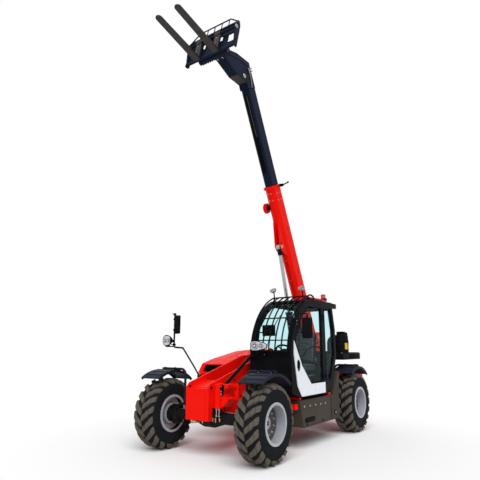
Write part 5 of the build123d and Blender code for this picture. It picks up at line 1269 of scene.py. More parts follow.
def door_fittings():
    """Handle in its recess, window seals, the arched inner rail and the hinge caps."""
    piece = Piece("door_fittings")
    for half_x, half_z, y0, y1, finish in ((0.045, 0.088, 1.0305, 1.0375, SEAL),
                                           (0.034, 0.070, 1.0365, 1.0405, MESH)):
        cup = [(0.687 + half_x * cos(radians(a)), 1.281 + half_z * sin(radians(a)))
               for a in range(0, 360, 15)]
        piece.plate(cup, y0, y1, finish, edge=0.001)
    piece.tube([(0.681, 1.037, 1.335), (0.681, 1.050, 1.325), (0.690, 1.050, 1.250),
                (0.692, 1.037, 1.238)], 0.0085, PLASTIC, 0.010, 12)
    piece.lathe([(0, 0.009), (0.005, 0.009), (0.006, 0.007), (0.006, 0)], STEEL,
                (0.692, 1.0370, 1.226), (0, 1, 0), 16)
    window = [(-0.225, 0.995), (0.265, 0.995), (0.560, 1.290)]
    arc = [(GLASS_ARC.x + 0.916 * cos(radians(a)), GLASS_ARC.z + 0.916 * sin(radians(a)))
           for a in (16, 24, 32, 40, 48, 54, 60)]
    top = GLASS_ARC.z + GLASS_RADIUS * sin(radians(71.7)) - 0.130
    loop = window + arc + [(0.255, top), (-0.225, top)]
    for y in (1.0195, 0.9805):
        piece.tube([Vector((x, y, z)) for x, z in loop + [loop[0]]], 0.0075, SEAL, 0.004, 8)
    # arched rail across the window, inside the pane
    arch = [Vector((-0.215, 0.988, 1.555)), Vector((0.02, 0.972, 1.575)),
            Vector((0.26, 0.972, 1.52)), Vector((0.46, 0.972, 1.40)), Vector((0.585, 0.988, 1.31))]
    piece.tube(arch, 0.017, SEAL, 0.12, 12)
    for x, z in ((0.60, 0.90), (-0.16, 0.83), (0.30, 0.83)):
        piece.lathe([(0, 0.010), (0.003, 0.009), (0.004, 0)], WHITE, (x, 1.0318, z), (0, 1, 0), 20)
    # hinge caps
    for z in (1.08, 2.08):
        for end, way in ((z + 0.040, 1), (z - 0.040, -1)):
            piece.cap((0.003, 0.0150), (0.006, 0.010), BLACK, (-0.285, 1.04, end), (0, 0, way), 20)
        for x in (-0.255, -0.240):
            piece.bolt((x + 0.004, 1.0395, z + (0.014 if x < -0.25 else -0.014)), (0, 1, 0), 0.006,
                       BLACK)
    piece.done("door")


def guard():
    """Screen guard: curved flat bars, cross rails, a lamp rail and the clamps on the cab."""
    piece = Piece("screen_guard")
    inner, outer, count, half = 1.0665, 1.0895, 7, 0.0085
    first, last = 0.295, 0.975
    for k in range(count):
        y, rings = first + (last - first) * k / (count - 1), []
        for step in range(36):
            angle = 5.5 + 68.5 * step / 35
            rings.append([arc_at(r, angle, y + w) for r,
                          w in ((inner, -half + 0.003), (inner + 0.003, -half),
                                (outer - 0.003, -half), (outer, -half + 0.003),
                                (outer, half - 0.003), (outer - 0.003, half), (inner + 0.003, half),
                                (inner, half - 0.003))])
        piece.loft(rings, BLACK)
    middle = (inner + outer) / 2
    for angle, radius in ((5.5, 0.0125), (14.9, 0.0095), (36.0, 0.0110), (73.0, 0.0125)):
        piece.tube([arc_at(middle, angle, first - half), arc_at(middle, angle, last + half)],
                   radius, BLACK, 0.01, 14)
    for angle in (5.5, 36.0, 73.0):
        for y in (first, last):
            way = Vector((cos(radians(angle)), 0, sin(radians(angle))))
            piece.tube([arc_at(GLASS_RADIUS - 0.004, angle, y), arc_at(middle, angle, y)], 0.009,
                       BLACK, 0.01, 12)
            piece.lathe([(-0.002, 0.020), (0.006, 0.020), (0.009, 0.016), (0.009, 0.0085)], BLACK,
                        arc_at(GLASS_RADIUS, angle, y), way, 20)
    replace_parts(piece.done("chassis"), "guard_grille")


seat()
console()
cab_fittings()
door_fittings()
guard()


# ---------------------------------------------------------------- lamps, mirrors, air cleaner
def work_lamp(piece, at, r, aim, depth):
    """Round lamp: shell, bright bowl with its bulb, clear bulging cover and bezel."""
    piece.lathe([(-depth, r * 0.45), (-depth * 0.92, r * 0.60), (-depth * 0.55, r * 0.84),
                 (-depth * 0.2, r * 0.97), (0.0, r), (0.012, r), (0.016, r * 0.965),
                 (0.010, r * 0.93), (-0.004, r * 0.93)], SILVER, at, aim, 40)
    piece.lathe([(-depth * 0.62, 0.0), (-depth * 0.60, r * 0.22), (-depth * 0.44, r * 0.55),
                 (-depth * 0.20, r * 0.80), (0.0, r * 0.925)], MIRROR, at, aim, 40)
    piece.lathe([(-depth * 0.60, r * 0.13), (-depth * 0.25, r * 0.13), (-depth * 0.20, r * 0.08),
                 (-depth * 0.20, 0.0)], WHITE, at, aim, 16)
    piece.lathe([(0.006, r * 0.94), (0.014, r * 0.86), (0.021, r * 0.60), (0.025, r * 0.30),
                 (0.026, 0.0)], COVER, at, aim, 40)


def oval_lamp(piece, front, middle, deep, bulge, sections, bowls):
    """Wide headlamp: dark shell, clear cover and bright bowls; sections are (y, half height)."""
    tall = max(h for _, h in sections)

    def ring(y, h, reach, share, start):
        turns = [radians(start + k * 18) for k in range(11)]
        return [Vector((front + reach * cos(a) * (h / tall) ** 0.6, y, middle + h * share * sin(a)))
                for a in turns]
    piece.loft([ring(y, h, deep, 1.0, 90) for y, h in sections], PLASTIC)
    piece.loft([ring(y, h, bulge, 0.96, -90) for y, h in sections[1:-1]], COVER)
    edge = [Vector((front, y, middle + h)) for y, h in sections]
    edge += [Vector((front, y, middle - h)) for y, h in reversed(sections)]
    piece.tube(edge + [edge[0]], 0.0055, PLASTIC, 0.004, 10)
    flat = [(v.y, middle + (v.z - middle) * 0.9) for v in edge[1:-1]]
    piece.plate(flat, front - 0.001, front + 0.0015, MIRROR, axis="x", edge=0.0)
    for y, r in bowls:
        piece.lathe([(0.001, r), (0.010, r), (0.012, r * 0.93), (0.006, r * 0.7), (0.003, r * 0.25),
                     (0.001, 0)], SILVER, (front, y, middle), (1, 0, 0), 32)
        piece.lathe([(0.003, r * 0.28), (0.016, r * 0.24), (0.020, r * 0.12), (0.021, 0.0)], WHITE,
                    (front, y, middle), (1, 0, 0), 20)
        piece.lathe([(0.002, r * 0.46), (0.0085, r * 0.44), (0.0085, r * 0.34), (0.002, r * 0.32)],
                    CAST, (front, y, middle), (1, 0, 0), 28, closed=True)


def lamps():
    """Headlamps on their arms, roof work lamps, beacon on its rail and rear lamp clusters."""
    piece = Piece("lamps")
    oval_lamp(piece, 1.085, 1.580, 0.080, 0.028,
              [(0.392, 0.040), (0.400, 0.060), (0.425, 0.074), (0.470, 0.078), (0.520, 0.073),
               (0.570, 0.064), (0.620, 0.052), (0.665, 0.038), (0.688, 0.022), (0.694, 0.010)],
              [(0.468, 0.064), (0.590, 0.044)])
    piece.tube([(0.886, 0.507, 1.445), (1.000, 0.507, 1.445), (1.040, 0.507, 1.465),
                (1.050, 0.507, 1.510)], 0.016, BLACK, 0.03, 12)
    piece.block((1.020, 0.475, 1.500), (1.078, 0.540, 1.518), BLACK, 0.005)
    piece.block((0.883, 0.470, 1.415), (0.897, 0.545, 1.475), BLACK, 0.004)
    for y in (0.483, 0.532):
        piece.bolt((0.8965, y, 1.445), (1, 0, 0), 0.009)
    oval_lamp(piece, 1.345, 1.675, 0.100, 0.034,
              [(-1.2845, 0.024), (-1.277, 0.054), (-1.256, 0.076), (-1.225, 0.088), (-1.185, 0.089),
               (-1.150, 0.080), (-1.122, 0.060), (-1.110, 0.030)],
              [(-1.240, 0.042), (-1.155, 0.040)])
    piece.block((1.140, -1.213, 1.562), (1.350, -1.187, 1.582), BLACK, 0.004)
    piece.block((1.270, -1.222, 1.576), (1.340, -1.178, 1.600), BLACK, 0.005)
    piece.block((1.163, -1.213, 1.642), (1.262, -1.187, 1.688), BLACK, 0.004)
    piece.tube([(1.26, -1.2, 1.63), (1.22, -1.2, 1.605), (1.165, -1.2, 1.60)], 0.006, SEAL, 0.02, 8)
    for y in (0.292, 0.866):
        aim = Vector((0.52, 0, 0.85)).normalized()
        lamp = Vector((0.190, y, 2.560))
        work_lamp(piece, lamp, 0.062, aim, 0.040)
        piece.tube([(0.150, y, ROOF_Z - 0.002), (0.150, y, 2.470), lamp - aim * 0.040], 0.011,
                   BLACK, 0.02, 14)
        piece.lathe([(0, 0.030), (0.006, 0.030), (0.010, 0.020)], BLACK, (0.150, y, ROOF_Z - 0.001),
                    (0, 0, 1), 20)
    # roof rail and beacon
    piece.plate([(-0.870, 2.409), (-0.020, 2.409), (-0.020, 2.431), (-0.040, 2.442),
                 (-0.850, 2.442), (-0.870, 2.431)], 0.800, 0.850, RED, edge=0.004)
    for x in (-0.68, -0.06):
        piece.block((x, 0.806, ROOF_Z - 0.002), (x + 0.04, 0.844, 2.4105), BLACK, 0.003)
    for x in (-0.66, -0.40, -0.04):
        piece.bolt((x, 0.825, 2.4415), (0, 0, 1), 0.010)
    mount = Vector((-0.770, 0.825, 2.4415))
    piece.lathe([(0, 0.050), (0.018, 0.050), (0.022, 0.044)], BLACK, mount, (0, 0, 1), 36)
    profile = [(0.020, 0.046)]
    for k in range(6):
        profile += [(0.026 + k * 0.011, 0.0462), (0.031 + k * 0.011, 0.0440)]
    profile += [(0.090, 0.043), (0.098, 0.034), (0.101, 0.018), (0.102, 0.0)]
    piece.lathe(profile, RED_LENS, mount, (0, 0, 1), 36)
    piece.tube([(-0.860, 0.825, 2.425), (-0.900, 0.825, 2.427), (-0.918, 0.825, 2.455),
                (-0.898, 0.825, 2.478), (-0.868, 0.825, 2.470)], 0.010, SEAL, 0.012, 10)
    # rear clusters
    for side in (1, -1):
        y = side * 0.615
        piece.block((-2.634, y - 0.085, 0.898), (-2.617, y + 0.085, 0.982), PLASTIC, 0.006)
        for k, glass in enumerate((AMBER, RED_LENS, RED_LENS, COVER)):
            y0 = y - 0.076 + k * 0.0385
            piece.block((-2.640, y0, 0.906), (-2.632, y0 + 0.0365, 0.974), glass, 0.004, steps=3)
    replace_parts(piece.done("chassis"), "lamps")


def mirror_head(piece, low, high, deep):
    """Mirror housing with softly rounded corners, its glass on the rear side."""
    piece.block(low, high, PLASTIC, deep, steps=5)
    x = low[0]
    piece.block((x - 0.0012, low[1] + 0.010, low[2] + 0.012),
                (x + 0.004, high[1] - 0.010, high[2] - 0.012), MIRROR, 0.0018)


def mirrors():
    """Both rear-view mirrors on their arms; the right arm is ribbed by its cable wrap."""
    piece = Piece("mirrors")
    mirror_head(piece, (0.852, 1.2155, 1.692), (0.9, 1.3845, 2.008), 0.022)
    arm = [arc_at(0.999, 34, 1.005), arc_at(0.999, 34, 1.075), Vector((0.865, 1.150, 2.070)),
           Vector((0.865, 1.300, 2.070)), Vector((0.865, 1.300, 1.990))]
    piece.tube(arm, 0.011, BLACK, 0.024, 12)
    foot = arc_at(0.999, 34, 1.018)
    piece.block(foot - Vector((0.030, 0.006, 0.035)), foot + Vector((0.030, 0.006, 0.035)), BLACK,
                0.005)
    for dz in (-0.022, 0.022):
        piece.bolt(foot + Vector((0, 0.006, dz)), (0, 1, 0), 0.007)
    piece.tube([foot + Vector((-0.02, 0.01, -0.10)), foot + Vector((0.0, 0.07, -0.05)),
                Vector((0.868, 1.18, 2.060))], 0.0055, BLACK, 0.02, 8)
    piece.lathe([(-0.022, 0.017), (0.022, 0.017)], BLACK, (0.865, 1.300, 2.030), (0, 0, 1), 20)
    mirror_head(piece, (1.122, -1.1945, 1.792), (1.175, -1.0755, 2.118), 0.026)
    piece.tube([(0.718, -0.970, 1.060), (0.790, -1.040, 1.230), (0.970, -1.150, 1.548)], 0.0155,
               BLACK, 0.04, 12, waves=(0.024, 0.0030))
    piece.tube([(0.970, -1.150, 1.548), (1.150, -1.200, 1.560), (1.150, -1.200, 2.160)], 0.015,
               BLACK, 0.04, 14)
    piece.tube([(0.960, -1.144, 1.530), (0.975, -1.1505, 1.5485), (0.995, -1.158, 1.5500)], 0.0160,
               BLACK, 0.03, 14)
    piece.block((0.700, -1.004, 1.020), (0.735, -0.936, 1.085), BLACK, 0.006)
    for z in (1.86, 2.05):
        piece.block((1.130, -1.220, z - 0.018), (1.168, -1.180, z + 0.018), BLACK, 0.005)
        piece.bolt((1.149, -1.219, z), (0, -1, 0), 0.007)
    # clamp at the head of the stalk
    piece.plate([(1.128, 2.118), (1.172, 2.118), (1.176, 2.140), (1.164, 2.152), (1.136, 2.152),
                 (1.124, 2.140)], -1.222, -1.186, BLACK, edge=0.004)
    piece.tube([(1.150, -1.214, 2.140), (1.160, -1.232, 2.148), (1.165, -1.246, 2.158)], 0.006,
               BLACK, 0.01, 8)
    piece.block((1.120, -1.218, 1.588), (1.180, -1.182, 1.622), BLACK, 0.006)
    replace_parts(piece.done("chassis"), "mirrors")


def air_cleaner():
    """Intake canister with bands, clips and elbow, on a shelf with covers and a grating."""
    piece = Piece("air_cleaner")
    base, z0 = Vector((-1.400, 0.880, 0)), 1.435
    wall = [(0.0, 0.120), (0.004, 0.132)]
    for k in range(5):
        wall += [(0.016 + k * 0.040, 0.1335), (0.020 + k * 0.040, 0.1375),
                 (0.034 + k * 0.040, 0.1375), (0.038 + k * 0.040, 0.1335)]
    wall += [(0.232, 0.1335), (0.236, 0.140), (0.262, 0.140), (0.266, 0.1355), (0.330, 0.134),
             (0.352, 0.125), (0.364, 0.100), (0.366, 0.0)]
    piece.lathe(wall, PLASTIC, base + Vector((0, 0, z0)), (0, 0, 1), 64)
    for k in range(4):
        a = radians(20 + k * 90)
        out = Vector((cos(a), sin(a), 0))
        spot = base + out * 0.137 + Vector((0, 0, z0 + 0.222))
        turn = Matrix.Translation(spot) @ Matrix.Rotation(a, 4, "Z")
        piece.block((-0.003, -0.014, -0.030), (0.0030, 0.014, 0.034), CAST, 0.002, turn)
    piece.lathe([(0.350, 0.088), (0.372, 0.088), (0.378, 0.080), (0.405, 0.080), (0.416, 0.088),
                 (0.424, 0.086), (0.425, 0.0)], PLASTIC, base + Vector((0, 0, z0)), (0, 0, 1), 48)
    for a in around(20):
        spot = base + Vector((0.0805 * cos(a), 0.0805 * sin(a), z0 + 0.391))
        piece.block((-0.003, -0.0045, -0.012), (0.004, 0.0045, 0.012), MESH, 0.001,
                    Matrix.Translation(spot) @ Matrix.Rotation(a, 4, "Z"), 1)
    # blank yellow band on the outer face
    band = [(0.1383 * cos(radians(a)), 0.1383 * sin(radians(a))) for a in range(52, 84, 4)]
    outer = [(x * 1.012, y * 1.012) for x, y in reversed(band)]
    piece.plate([(base.x + x, base.y + y) for x, y in band + outer], z0 + 0.085, z0 + 0.205, YELLOW,
                axis="z", edge=0.0)
    # outlet elbow towards the engine with its clamps
    path = [base + Vector((-0.02, -0.10, z0 + 0.300)), base + Vector((-0.02, -0.215, z0 + 0.300)),
            base + Vector((-0.02, -0.260, z0 + 0.240)), base + Vector((-0.02, -0.270, z0 + 0.010))]
    piece.tube(path, 0.048, HOSE, 0.09, 24, waves=(0.030, 0.0025))
    piece.lathe([(-0.010, 0.0515), (0.010, 0.0515)], STEEL, path[0] + Vector((0, -0.045, 0)),
                (0, 1, 0), 36)
    piece.lathe([(0, 0.030), (0.030, 0.030), (0.040, 0.022), (0.060, 0.026), (0.066, 0.020),
                 (0.066, 0)], PLASTIC, base + Vector((-0.115, 0.060, z0 + 0.345)), (0, 0, 1), 24)
    # mounting straps and foot
    for z in (0.060, 0.170):
        piece.lathe([(z - 0.009, 0.1375), (z - 0.009, 0.1395), (z + 0.009, 0.1395),
                     (z + 0.009, 0.1375)], BLACK, base + Vector((0, 0, z0)), (0, 0, 1), 64,
                    closed=True)
    piece.block((-1.50, 0.76, 1.440), (-1.30, 0.99, 1.460), BLACK, 0.004)
    # shelf: sheet box with rolled edges, hatch lid, latches and a grating towards the cab
    x0, x1, y0, y1, low, top = -2.060, -1.180, 0.140, 1.000, 1.325, 1.452
    piece.block((x0, y0, low), (x1, y1, top), BLACK, 0.010, steps=3)
    piece.block((x0 + 0.03, 0.62, top - 0.001), (-1.60, y1 - 0.03, top + 0.009), BLACK, 0.006)
    for x in (-1.98, -1.72):
        piece.block((x - 0.02, y1 - 0.032, top - 0.030), (x + 0.02, y1 - 0.0005, top + 0.009), CAST,
                    0.004)
    for k in range(12):
        y = 0.19 + k * 0.034
        piece.block((x0 + 0.05, y, top - 0.002), (x1 - 0.05, y + 0.010, top + 0.008), CAST, 0.002)
    for y in (y0 + 0.25, y1 - 0.05):
        for x in (x0 + 0.05, x1 - 0.05):
            piece.bolt((x, y, top - 0.0005), (0, 0, 1), 0.011)
    piece.block((x0 + 0.06, y1 - 0.002, low + 0.020), (x1 - 0.30, y1 + 0.004, top - 0.018), MESH,
                0.003)
    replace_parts(piece.done("chassis"), "air_cleaner")


def tank_details():
    """Row of bolts, seam, filler cap, step with a painted recess shade, border and straps of the
    left tank panel.
    """
    piece = Piece("tank_fittings")
    face = 1.0155
    for x, z in ((0.501, 0.649), (0.300, 0.645), (0.105, 0.641), (-0.085, 0.637), (-0.270, 0.633)):
        piece.lathe([(-0.001, 0.0165), (0.004, 0.0155), (0.006, 0.010), (0.006, 0.0)], STEEL,
                    (x, face, z), (0, 1, 0), 20)
    piece.block((-0.506, face - 0.003, 0.350), (-0.494, face + 0.0035, 0.730), SEAL, 0.002)
    piece.cap((0.010, 0.034), (0.014, 0.028), BLACK, (-0.651, face, 0.451), (0, 1, 0), 32)
    piece.lathe([(0.013, 0.019), (0.019, 0.018), (0.021, 0.012), (0.021, 0)], STEEL,
                (-0.651, face, 0.451), (0, 1, 0), 24)
    # step: near-black plate on the face, painted as the shade of a recess, with its tread on it
    piece.plate([(0.16, 0.405), (0.47, 0.405), (0.50, 0.44), (0.47, 0.475), (0.16, 0.475),
                 (0.13, 0.44)], face - 0.001, face + 0.0035, MESH, edge=0.001)
    for k in range(9):
        x = 0.175 + k * 0.033
        piece.block((x, face + 0.002, 0.424), (x + 0.018, face + 0.0065, 0.456), CAST, 0.002)
    # pressed border along the panel's lower edge and its strap
    piece.block((-0.82, face - 0.003, 0.352), (0.53, face + 0.0030, 0.366), TANK, 0.0025)
    for x in (0.42, -0.16):
        piece.block((x - 0.022, face - 0.003, 0.352), (x + 0.022, face + 0.0040, 0.395), BLACK,
                    0.003)
    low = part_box("side_tank")[0].z
    for x in (-0.62, -0.1, 0.40):
        for y in (0.30, 0.88):
            piece.cap((0.004, 0.020), (0.006, 0.016), STEEL, (x, y, low), (0, 0, -1), 20)
    piece.done("chassis")


lamps()
mirrors()
air_cleaner()
tank_details()


# ---------------------------------------------------------------- boom, head, carriage, forks
def boom_details():
    """Slide pad screws, collar pads, hose sheave, clamped pipes, and the collar's lever."""
    piece = Piece("boom_outer_fittings", BOOM)
    for along in (0.55, 1.50, 2.46):
        for side in (1, -1):
            piece.lathe([(-0.001, 0.017), (0.003, 0.016), (0.005, 0.010), (0.005, 0)], BLACK,
                        (along, side * 0.110, 0.055), (0, side, 0), 20)
    for side in (1, -1):
        for along in (3.10, 3.24):
            for up in (-0.05, 0.09):
                piece.bolt((along, side * 0.110, up), (0, side, 0), 0.013)
    for along in (3.12, 3.26):
        for y in (-0.055, 0.055):
            piece.bolt((along, y, 0.155), (0, 0, 1), 0.013)
            piece.bolt((along, y * 0.6, -0.155), (0, 0, -1), 0.011)
    # collar front face: pad keepers and screws
    for side in (1, -1):
        piece.block((3.4095, side * 0.1095 - 0.010, -0.070), (3.416, side * 0.1095 + 0.010, 0.100),
                    BLACK, 0.002)
        piece.bolt((3.4155, side * 0.1095, 0.06), (1, 0, 0), 0.008)
    piece.block((3.4095, -0.070, 0.148), (3.416, 0.070, 0.168), BLACK, 0.002)
    # hose sheave on the right side below the collar
    hub = Vector((2.985, 0, -0.175))
    piece.plate([(hub.x - 0.07, -0.090), (hub.x + 0.07, -0.090), (hub.x + 0.035, hub.z - 0.03),
                 (hub.x - 0.035, hub.z - 0.03)], -0.125, -0.109, BLACK, edge=0.003)
    piece.lathe([(0.0, 0.030), (0.052, 0.030)], BLACK, (hub.x, -0.124, hub.z), (0, -1, 0), 24)
    piece.lathe([(0.004, 0.030), (0.004, 0.104), (0.009, 0.108), (0.013, 0.104), (0.015, 0.084),
                 (0.030, 0.084), (0.032, 0.104), (0.036, 0.108), (0.041, 0.104), (0.041, 0.030)],
                RED, (hub.x, -0.126, hub.z), (0, -1, 0), 56, closed=True)
    piece.lathe([(0.040, 0.080), (0.0425, 0.078), (0.0425, 0.048), (0.040, 0.046)], STEEL,
                (hub.x, -0.126, hub.z), (0, -1, 0), 40, closed=True)
    piece.bolt((hub.x, -0.1755, hub.z), (0, -1, 0), 0.016)
    for s in (1, -1):
        piece.block((hub.x + s * 0.085 - 0.012, -0.160, hub.z - 0.02 + 0.05),
                    (hub.x + s * 0.085 + 0.012, -0.108, hub.z + 0.05 + 0.02), BLACK, 0.003)
    # clamped pipes under the boom, between the lift ears and the collar
    for y in (-0.036, 0.0, 0.036):
        piece.tube([(0.36, y, -0.164), (1.86, y, -0.164)], 0.0085, RED, 0.02, 8)
    for along in (0.42, 0.90, 1.38, 1.82):
        piece.block((along - 0.016, -0.052, -0.1755), (along + 0.016, 0.052, -0.154), RED, 0.004)
        for y in (-0.018, 0.018):
            piece.bolt((along, y, -0.1752), (0, 0, -1), 0.006)
    # bracket and lever at the collar's upper left corner
    piece.plate([(3.350, 0.100), (3.405, 0.100), (3.405, 0.185), (3.385, 0.215), (3.352, 0.200)],
                0.129, 0.141, BLACK, edge=0.003)
    piece.plate([(3.345, 0.130), (3.405, 0.130), (3.400, 0.158), (3.352, 0.158)], 0.129, 0.205,
                BLACK, edge=0.004)
    piece.tube([(3.378, 0.195, 0.150), (3.384, 0.235, 0.160), (3.402, 0.300, 0.172)], 0.013, CAST,
               0.02, 12)
    piece.lathe([(-0.012, 0.018), (0.012, 0.018)], SEAL, (3.404, 0.305, 0.173), (0.25, 0.95, 0.15),
                18)
    piece.bolt((3.376, 0.170, 0.158), (0, 0, 1), 0.010)
    # welded pads on top, rings at the foot and caps on the lift ears
    for along in (0.30, 1.90, 2.90):
        piece.block((along - 0.045, -0.035, 0.154), (along + 0.045, 0.035, 0.163), RED, 0.004)
    for side in (1, -1):
        piece.lathe([(-0.001, 0.0855), (0.006, 0.0845), (0.006, 0.055), (-0.001, 0.055)], RED,
                    (0, side * 0.189, 0), (0, side, 0), 48, closed=True)
        piece.cap((0.010, 0.040), (0.013, 0.036), STEEL, (2.170, side * 0.063, -0.305),
                  (0, side, 0), 32)
        piece.bolt((2.170, side * 0.076, -0.305), (0, side, 0), 0.012)
        piece.plate([(2.205, -0.290), (2.245, -0.262), (2.262, -0.280), (2.222, -0.312)],
                    *sorted((side * 0.0625, side * 0.072)), BLACK, edge=0.002)
    piece.done("outer_boom")

    slider = Piece("boom_inner_fittings", BOOM)
    # rubbed track that the pads leave on the lower face
    slider.block((3.70, -0.052, -0.1368), (5.30, 0.052, -0.1352), MESH, 0.0007)
    slider.block((4.45, 0.010, -0.1374), (5.28, 0.022, -0.1360), SHADE_AND_WEAR_GREY, 0.0005)
    slider.done("inner_boom")


def head_details():
    """Cheek bosses, tilt cylinder pin caps, couplings and pipes of the gooseneck."""
    piece = Piece("head_fittings", BOOM)
    for side in (1, -1):
        piece.cap((0.007, 0.046), (0.010, 0.042), STEEL, (TILT_FOOT.x, side * 0.100, TILT_FOOT.z),
                  (0, side, 0), 32)
        piece.bolt_ring((TILT_FOOT.x, side * 0.1095, TILT_FOOT.z), (0, side, 0), 0.030, 3, 0.008,
                        0.5)
        piece.lathe([(-0.001, 0.070), (0.0035, 0.069), (0.0035, 0.034), (-0.001, 0.034)], BLUE,
                    (FORK_PIVOT.x, side * 0.1000, FORK_PIVOT.z), (0, side, 0), 40, closed=True)
        outline = [(5.44, 0.095), (5.86, 0.095), (5.99, -0.20), (6.055, -0.62), (6.03, -0.64),
                   (5.955, -0.25), (5.83, 0.062), (5.47, 0.062)]
        piece.plate(outline, *sorted((side * 0.0995, side * 0.1050)), BLUE, edge=0.002)
    # coupling block and its couplings near the top of the left cheek
    piece.block((5.70, 0.099, 0.01), (5.80, 0.128, 0.075), STEEL, 0.005)
    for along in (5.725, 5.775):
        piece.lathe([(0, 0.016), (0.020, 0.016), (0.024, 0.012), (0.046, 0.012), (0.050, 0.008),
                     (0.050, 0)], STEEL, (along, 0.127, 0.042), (0, 1, 0.1), 12)
    piece.tube([(5.700, 0.112, 0.04), (5.62, 0.112, 0.045), (5.50, 0.112, 0.02),
                (5.42, 0.108, 0.0)], 0.0075, STEEL, 0.03, 8)
    piece.lathe([(-0.004, 0.030), (0.016, 0.030), (0.024, 0.022), (0.040, 0.022), (0.046, 0.012),
                 (0.046, 0.0)], BLACK, (5.86, 0.03, 0.136), (0, 0, 1), 24)
    piece.tube([(5.86, 0.03, 0.170), (5.90, 0.03, 0.182), (5.935, 0.035, 0.178)], 0.007, BLACK,
               0.02, 8)
    # pipes and clamps inside the neck
    for y in (-0.055, 0.050):
        piece.tube([(5.66, y, -0.395), (5.78, y, -0.500), (5.93, y, -0.660), (5.975, y, -0.735)],
                   0.009, STEEL, 0.05, 8)
        for along, up in ((5.72, -0.447), (5.87, -0.593)):
            piece.block((along - 0.012, y - 0.018, up - 0.014),
                        (along + 0.012, y + 0.018, up + 0.014), BLACK, 0.003)
        piece.lathe([(0, 0.015), (0.022, 0.015), (0.026, 0.011)], BRASS, (5.977, y, -0.738),
                    (0.3, 0, -1), 6)
    # lighter closing plate at the neck's lower bend
    piece.plate([(5.545, -0.162), (5.675, -0.398), (5.660, -0.432), (5.522, -0.142)], -0.096, 0.096,
                TANK, edge=0.003)
    for along, up in ((5.49, 0.136), (5.60, 0.136), (5.71, 0.136)):
        piece.bolt((along, -0.05, up), (0, 0, 1), 0.010)
    piece.done("inner_boom")


def carriage_details():
    """Pivot pin caps, shaft keepers, fork stops, wear strips and bolts of the fork carriage."""
    piece = Piece("carriage_fittings", CARRIAGE)
    for side in (1, -1):
        face = side * 0.170
        piece.cap((0.003, 0.030), (0.006, 0.025), CHROME, (0, face, 0), (0, side, 0), 32)
        piece.lathe([(0.006, 0.007), (0.014, 0.006), (0.016, 0.002)], BRASS, (0, face, 0),
                    (0, side, 0), 10)
        ear = side * 0.130
        piece.lathe([(-0.001, 0.058), (0.006, 0.057), (0.008, 0.052), (0.008, 0.0305),
                     (-0.001, 0.0305)], BLUE, (0, ear, 0), (0, side, 0), 40, closed=True)
        piece.bolt_ring((0, ear + side * 0.0075, 0), (0, side, 0), 0.044, 4, 0.007, 0.785)
        end = 0.050 + side * 0.552
        piece.cap((0.006, 0.038), (0.009, 0.032), STEEL, (SHAFT_X, end, SHAFT_Z), (0, side, 0), 28)
        piece.bolt((SHAFT_X, end + side * 0.0085, SHAFT_Z), (0, side, 0), 0.014)
        lever_x, lever_z = 0.18 * cos(radians(75)), 0.18 * sin(radians(75))
        piece.cap((0.008, 0.026), (0.010, 0.022), STEEL, (lever_x, side * 0.050, lever_z),
                  (0, side, 0), 24)
        for up in (-0.16, 0.21):
            piece.bolt((0.150, end, up), (0, side, 0), 0.011, BLACK)
    # ribbed wear strip on the coupler box and its end caps
    for k in range(12):
        y = -0.235 + k * 0.052
        piece.block((-0.0125, y, -0.240), (-0.009, y + 0.030, -0.145), BLACK, 0.0015)
    for side in (1, -1):
        y = 0.050 + side * 0.310
        piece.plate([(0.010, -0.140), (0.105, -0.140), (0.105, -0.200), (0.078, -0.248),
                     (0.022, -0.248), (0.010, -0.232)],
                    *sorted((y - side * 0.001, y + side * 0.006)), BLUE, edge=0.002)
        for cx, cz in ((0.030, -0.165), (0.088, -0.165), (0.045, -0.228)):
            piece.bolt((cx, y + side * 0.0055, cz), (0, side, 0), 0.008)
    for y in (-0.36, -0.12, 0.22, 0.46):
        piece.bolt((0.1615, y, 0.275), (1, 0, 0), 0.010, BLACK)
    piece.done("carriage")


def fork_details(body, y):
    """Shaft rings, wear plate, screw, boss and locking handle of one fork."""
    piece = Piece(f"{body}_fittings", CARRIAGE)
    for end in (-0.061, 0.061):
        way = 1 if end > 0 else -1
        piece.lathe([(-0.001, 0.0455), (0.003, 0.044), (0.003, 0.030), (-0.001, 0.030)], FORGED,
                    (SHAFT_X, y + end, SHAFT_Z), (0, way, 0), 36, closed=True)
    piece.plate([(0.2095, 0.040), (0.2095, -0.215), (0.2155, -0.205), (0.2155, 0.030)], y - 0.022,
                y + 0.022, FORGED, edge=0.002)
    piece.bolt((0.2150, y, 0.010), (1, 0, 0), 0.010)
    piece.cap((0.004, 0.020), (0.006, 0.017), FORGED, (0.300, y + 0.0605, -0.262), (0, 1, 0), 20)
    piece.tube([(0.189, y + 0.035, 0.164), (0.189, y + 0.035, 0.180), (0.189, y - 0.005, 0.186),
                (0.189, y - 0.030, 0.164)], 0.0065, STEEL, 0.012, 8)
    piece.done(body)


